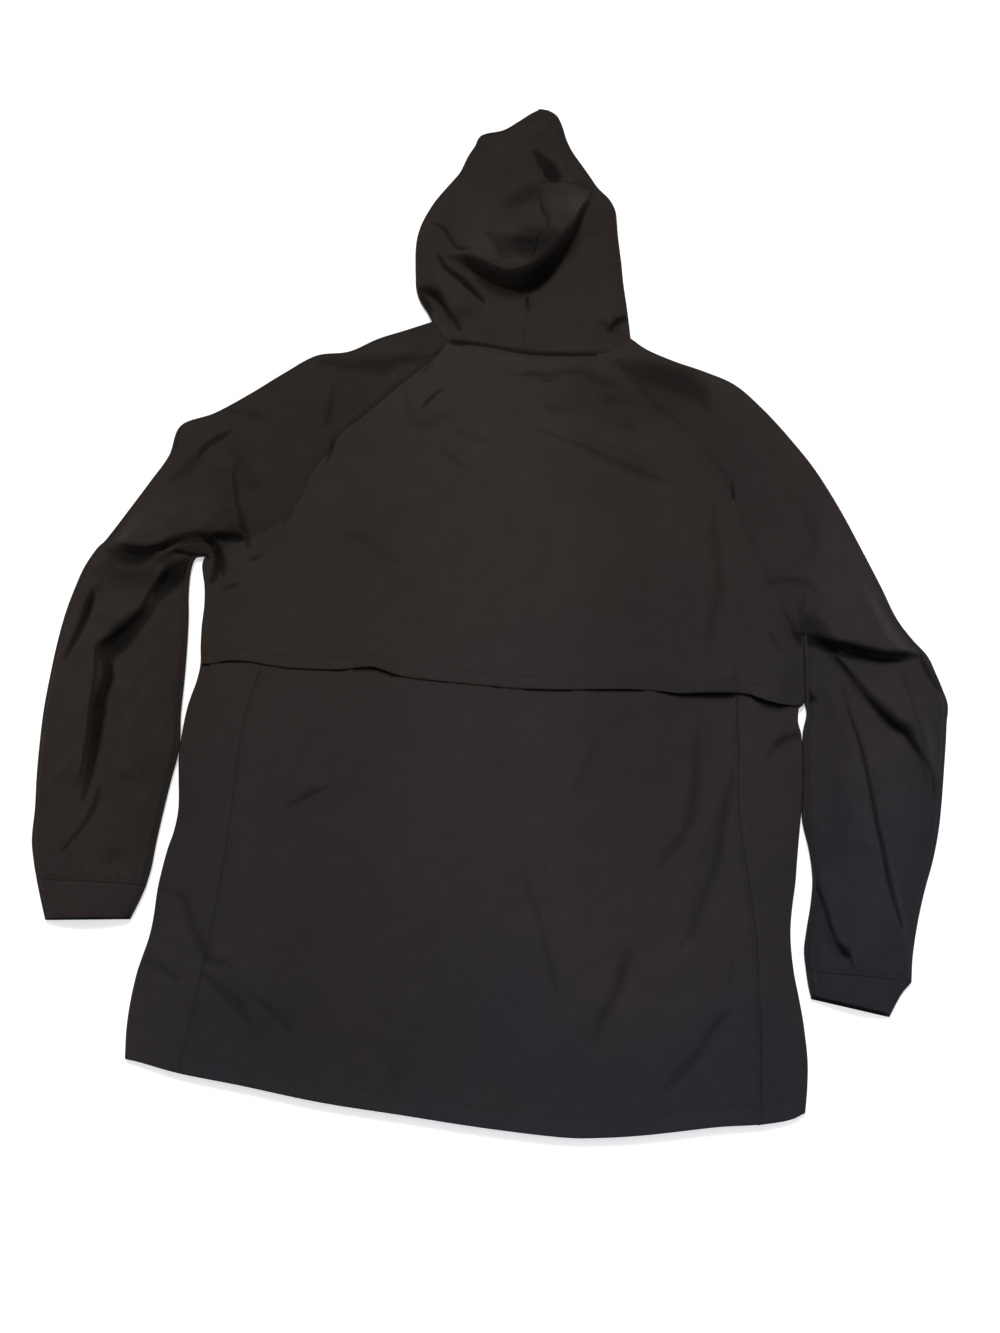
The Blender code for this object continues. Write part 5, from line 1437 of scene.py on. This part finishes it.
def zip_teeth():
    points, faces = [], []
    # from the tape to the tip, then back
    outline = np.array([(x, -y) for x, y in TOOTH_HALF] + TOOTH_HALF[::-1])
    for body, start in ((LEFT, 0.0), (RIGHT, TOOTH_PITCH / 2)):
        for y in np.arange(ZIP_BOTTOM + 6.0 + start, ZIP_TOP - 2.0, TOOTH_PITCH):
            slab(outline * (body, 1.0), TOOTH_LOW, TOOTH_HIGH, TOOTH_EDGE, points, faces, y, False)
    return faceted("zip_teeth", points, faces, TOOTH)


def rounded(half_x, low_y, high_y, radius, narrow=1.0):
    """A rounded rectangle, narrower toward low y."""
    outline = []
    right, top, bottom = half_x - radius, high_y - radius, low_y + radius
    for cx, cy, start in ((right, top, 0), (-right, top, 90), (-right, bottom, 180),
                          (right, bottom, 270)):
        for a in np.radians(start + np.arange(0, 91, 22.5)):
            x, y = cx + radius * math.cos(a), cy + radius * math.sin(a)
            share = (y - low_y) / (high_y - low_y)
            outline.append((x * (narrow + (1 - narrow) * share), y))
    return outline


def zip_slider():
    """Two plates on a post with side rails, and a short locked pull tab on its bridge."""
    low, high = ZIP_TOP + 0.35, ZIP_TOP + 10.95
    plate = rounded(3.5, low, high, 1.3, 0.72)
    post = [(0, high - 5.2), (0.9, high - 2.2), (0, high - 0.6), (-0.9, high - 2.2)]
    parts = [(plate, 0.75, 1.35, 0.15), (plate, 3.0, 3.6, 0.15), (post, 1.2, 3.1, 0.1)]
    for body in SIDE:
        rail = np.array([(2.05, low + 0.6), (2.75, low + 0.6), (3.25, high - 2.0),
                         (2.6, high - 2.0)]) * (body, 1.0)
        parts += [(rail, 1.3, 1.9, 0.12), (rail, 2.5, 3.05, 0.12)]
    parts += [(rounded(0.55, y - 0.7, y + 0.7, 0.3), 0.3, 0.85, 0.1)
              for y in (low + 2.4, high - 2.4)]
    bridge = rounded(0.55, low + 1.7, high - 1.7, 0.3)
    tab = rounded(2.1, low + 0.2, low + 7.4, 0.9, 0.75)
    parts += [(bridge, 0.08, 0.36, 0.08), (tab, 0.36, 0.62, 0.08)]
    for k in range(4):
        y = low + 0.9 + 0.7 * k
        parts.append((rounded(1.2 + 0.12 * k, y, y + 0.35, 0.15), 0.22, 0.42, 0.06))
    points, faces = [], []
    for part in parts:
        slab(*part, points, faces)
    return faceted("zip_slider_body", points, faces, LACQUER)


tapes = {side: zip_tape(f"zip_tape_{side}", body) for body, side in SIDE.items()}
teeth = zip_teeth()
for piece in tapes.values():
    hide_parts("zip")
    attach(piece, "root")
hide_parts("zip")
slider = zip_slider()
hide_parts("zip_slider")
for piece in (teeth, slider):
    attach(piece, "root")

# ---- rows of stitches beside the seams and on the hems ---------------------------------
BESIDE, HOOD_BESIDE = 4.5, 3.5                          # from a seam
HEM_STITCH, CAPE_STITCH, FACE_STITCH, ZIP_STITCH = 18.0, 12.0, 12.0, 10.2    # from an edge
SIDE_STITCH_TOP = -104                                  # under the edge of the cape


def trimmed(path, beside, start, end):
    """A path moved to its left, without a length at each end."""
    path = moved_across(path, beside)
    spots = np.linspace(start, gone_along(path)[-1] - end, 3 * len(path))
    return at_lengths(path, spots)


def across_end(table):
    """From seam to outer fold across the end of a sleeve."""
    row = row_of(table, len(table) - 1.25)
    return np.linspace(row[BACK], row[OUT], 24)[1:-1]


hem_x, front_x = np.linspace(-300.0, 300.0, 120), np.linspace(6.0, 306.0, 70)
cape_row_at = at_lengths(CAPE_EDGE + (0, CAPE_STITCH),
                         np.linspace(5, gone_along(CAPE_EDGE)[-1] - 5, 3 * len(CAPE_EDGE)))
open_hood = fine(HOOD[HOOD[:, CLOSED] == 0])
lower_lines = [("lower", np.column_stack([hem_x, along(HEM, hem_x, 1) + HEM_STITCH]))]
STITCHED = {"back_yoke": [("cape", trimmed(NECK, -BESIDE, 4, 4)), ("cape", cape_row_at)]}
for body, side in SIDE.items():
    name = "sleeve_" + side
    STITCHED[name] = [(name, trimmed(RAGLAN[body], body * BESIDE, 3, 6)),
                      (name, across_end(SLEEVE[body]))]
    low = LONG_SEAM[body][LONG_SEAM[body][:, 1] < SIDE_STITCH_TOP]
    lower_lines.append(("lower", low - (body * BESIDE, 0)))
STITCHED["back_lower"] = lower_lines
for body, side in SIDE.items():
    face = open_hood[:, HOOD_FACE[body]]
    STITCHED["hood_" + side] = [("hood", trimmed(open_hood[:, :2], -body * HOOD_BESIDE, 4, 2)),
                                ("floor", trimmed(face, -body * FACE_STITCH, 8, 26))]
for body, side in SIDE.items():
    by_zip = np.column_stack([np.full(90, body * ZIP_STITCH), np.linspace(-470, 160, 90)])
    x = body * front_x
    STITCHED["front_" + side] = [
        ("floor", by_zip), ("floor", np.column_stack([x, front_bow(x) + HEM_STITCH])),
        ("floor", trimmed(FLOOR_SEAM[body], -body * BESIDE, 6, 6))]
for node, lines in STITCHED.items():
    piece = stitches("stitches_" + node, lines, THREAD_BLACK)
    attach(piece, "root")

# ---- stage (metres) --------------------------------------------------------------------
FLOOR_HALF, FLOOR_LOW = 12.0, -0.0004
LENS, SENSOR = 50.0, 36.0
TILT, YAW, FAR, AIM = math.radians(12.0), math.radians(4.8), 1.80, (0.001, -0.0765)
SUN_FROM, SUN_WIDE = (-0.12, 0.58, 0.80), math.radians(14.0)
FILL_AT, FILL_AIM, FILL_SIZE = Vector((1.1, -1.7, 1.6)), Vector((0.1, -0.2, 0.0)), 1.2

white = Nodes("floor_white", Roughness=0.9, Specular_IOR_Level=0.0, Base_Color=(0.86,) * 3,
              Emission_Color=(1.0,) * 3, Emission_Strength=0.35)
corners = [(x * FLOOR_HALF / MM, y * FLOOR_HALF / MM, FLOOR_LOW / MM)
           for x, y in ((-1, -1), (1, -1), (1, 1), (-1, 1))]
mesh_piece("floor", corners, [(0, 1, 2, 3)], white.material, False)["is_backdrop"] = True


def camera():
    data = bpy.data.cameras.new("camera")
    data.lens, data.sensor_width = LENS, SENSOR
    c, s = math.cos(YAW), math.sin(YAW)
    back, up = -FAR * math.sin(TILT), FAR * math.cos(TILT)
    eye = in_scene("camera", data)
    eye.location = (AIM[0] - back * s, AIM[1] + back * c, up)
    right = Vector((c, s, 0))
    forward = Vector((-math.sin(TILT) * s, math.sin(TILT) * c, -math.cos(TILT)))
    eye.rotation_euler = Matrix((right, right.cross(forward), -forward)).transposed().to_euler()
    bpy.context.scene.camera = eye


camera()
scene = bpy.context.scene
scene.view_settings.view_transform = "Standard"
scene.world = scene.world or bpy.data.worlds.new("studio")
scene.world.use_nodes = True
sky = scene.world.node_tree.nodes["Background"]
sky.inputs["Color"].default_value = (0.97, 0.98, 1.0, 1.0)
sky.inputs["Strength"].default_value = 0.68
sun = bpy.data.lights.new("key", "SUN")
sun.energy, sun.angle, sun.color = 1.9, SUN_WIDE, (1.0, 0.96, 0.91)
in_scene("key", sun).rotation_euler = Vector(SUN_FROM).to_track_quat("Z", "Y").to_euler()
fill = bpy.data.lights.new("fill", "AREA")
fill.shape, fill.size, fill.size_y = "RECTANGLE", FILL_SIZE, FILL_SIZE
fill.energy, fill.color = 6.0, (0.80, 0.88, 1.0)
lamp = in_scene("fill", fill)
lamp.location = FILL_AT
lamp.rotation_euler = (FILL_AIM - FILL_AT).to_track_quat("-Z", "Y").to_euler()

low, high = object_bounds()
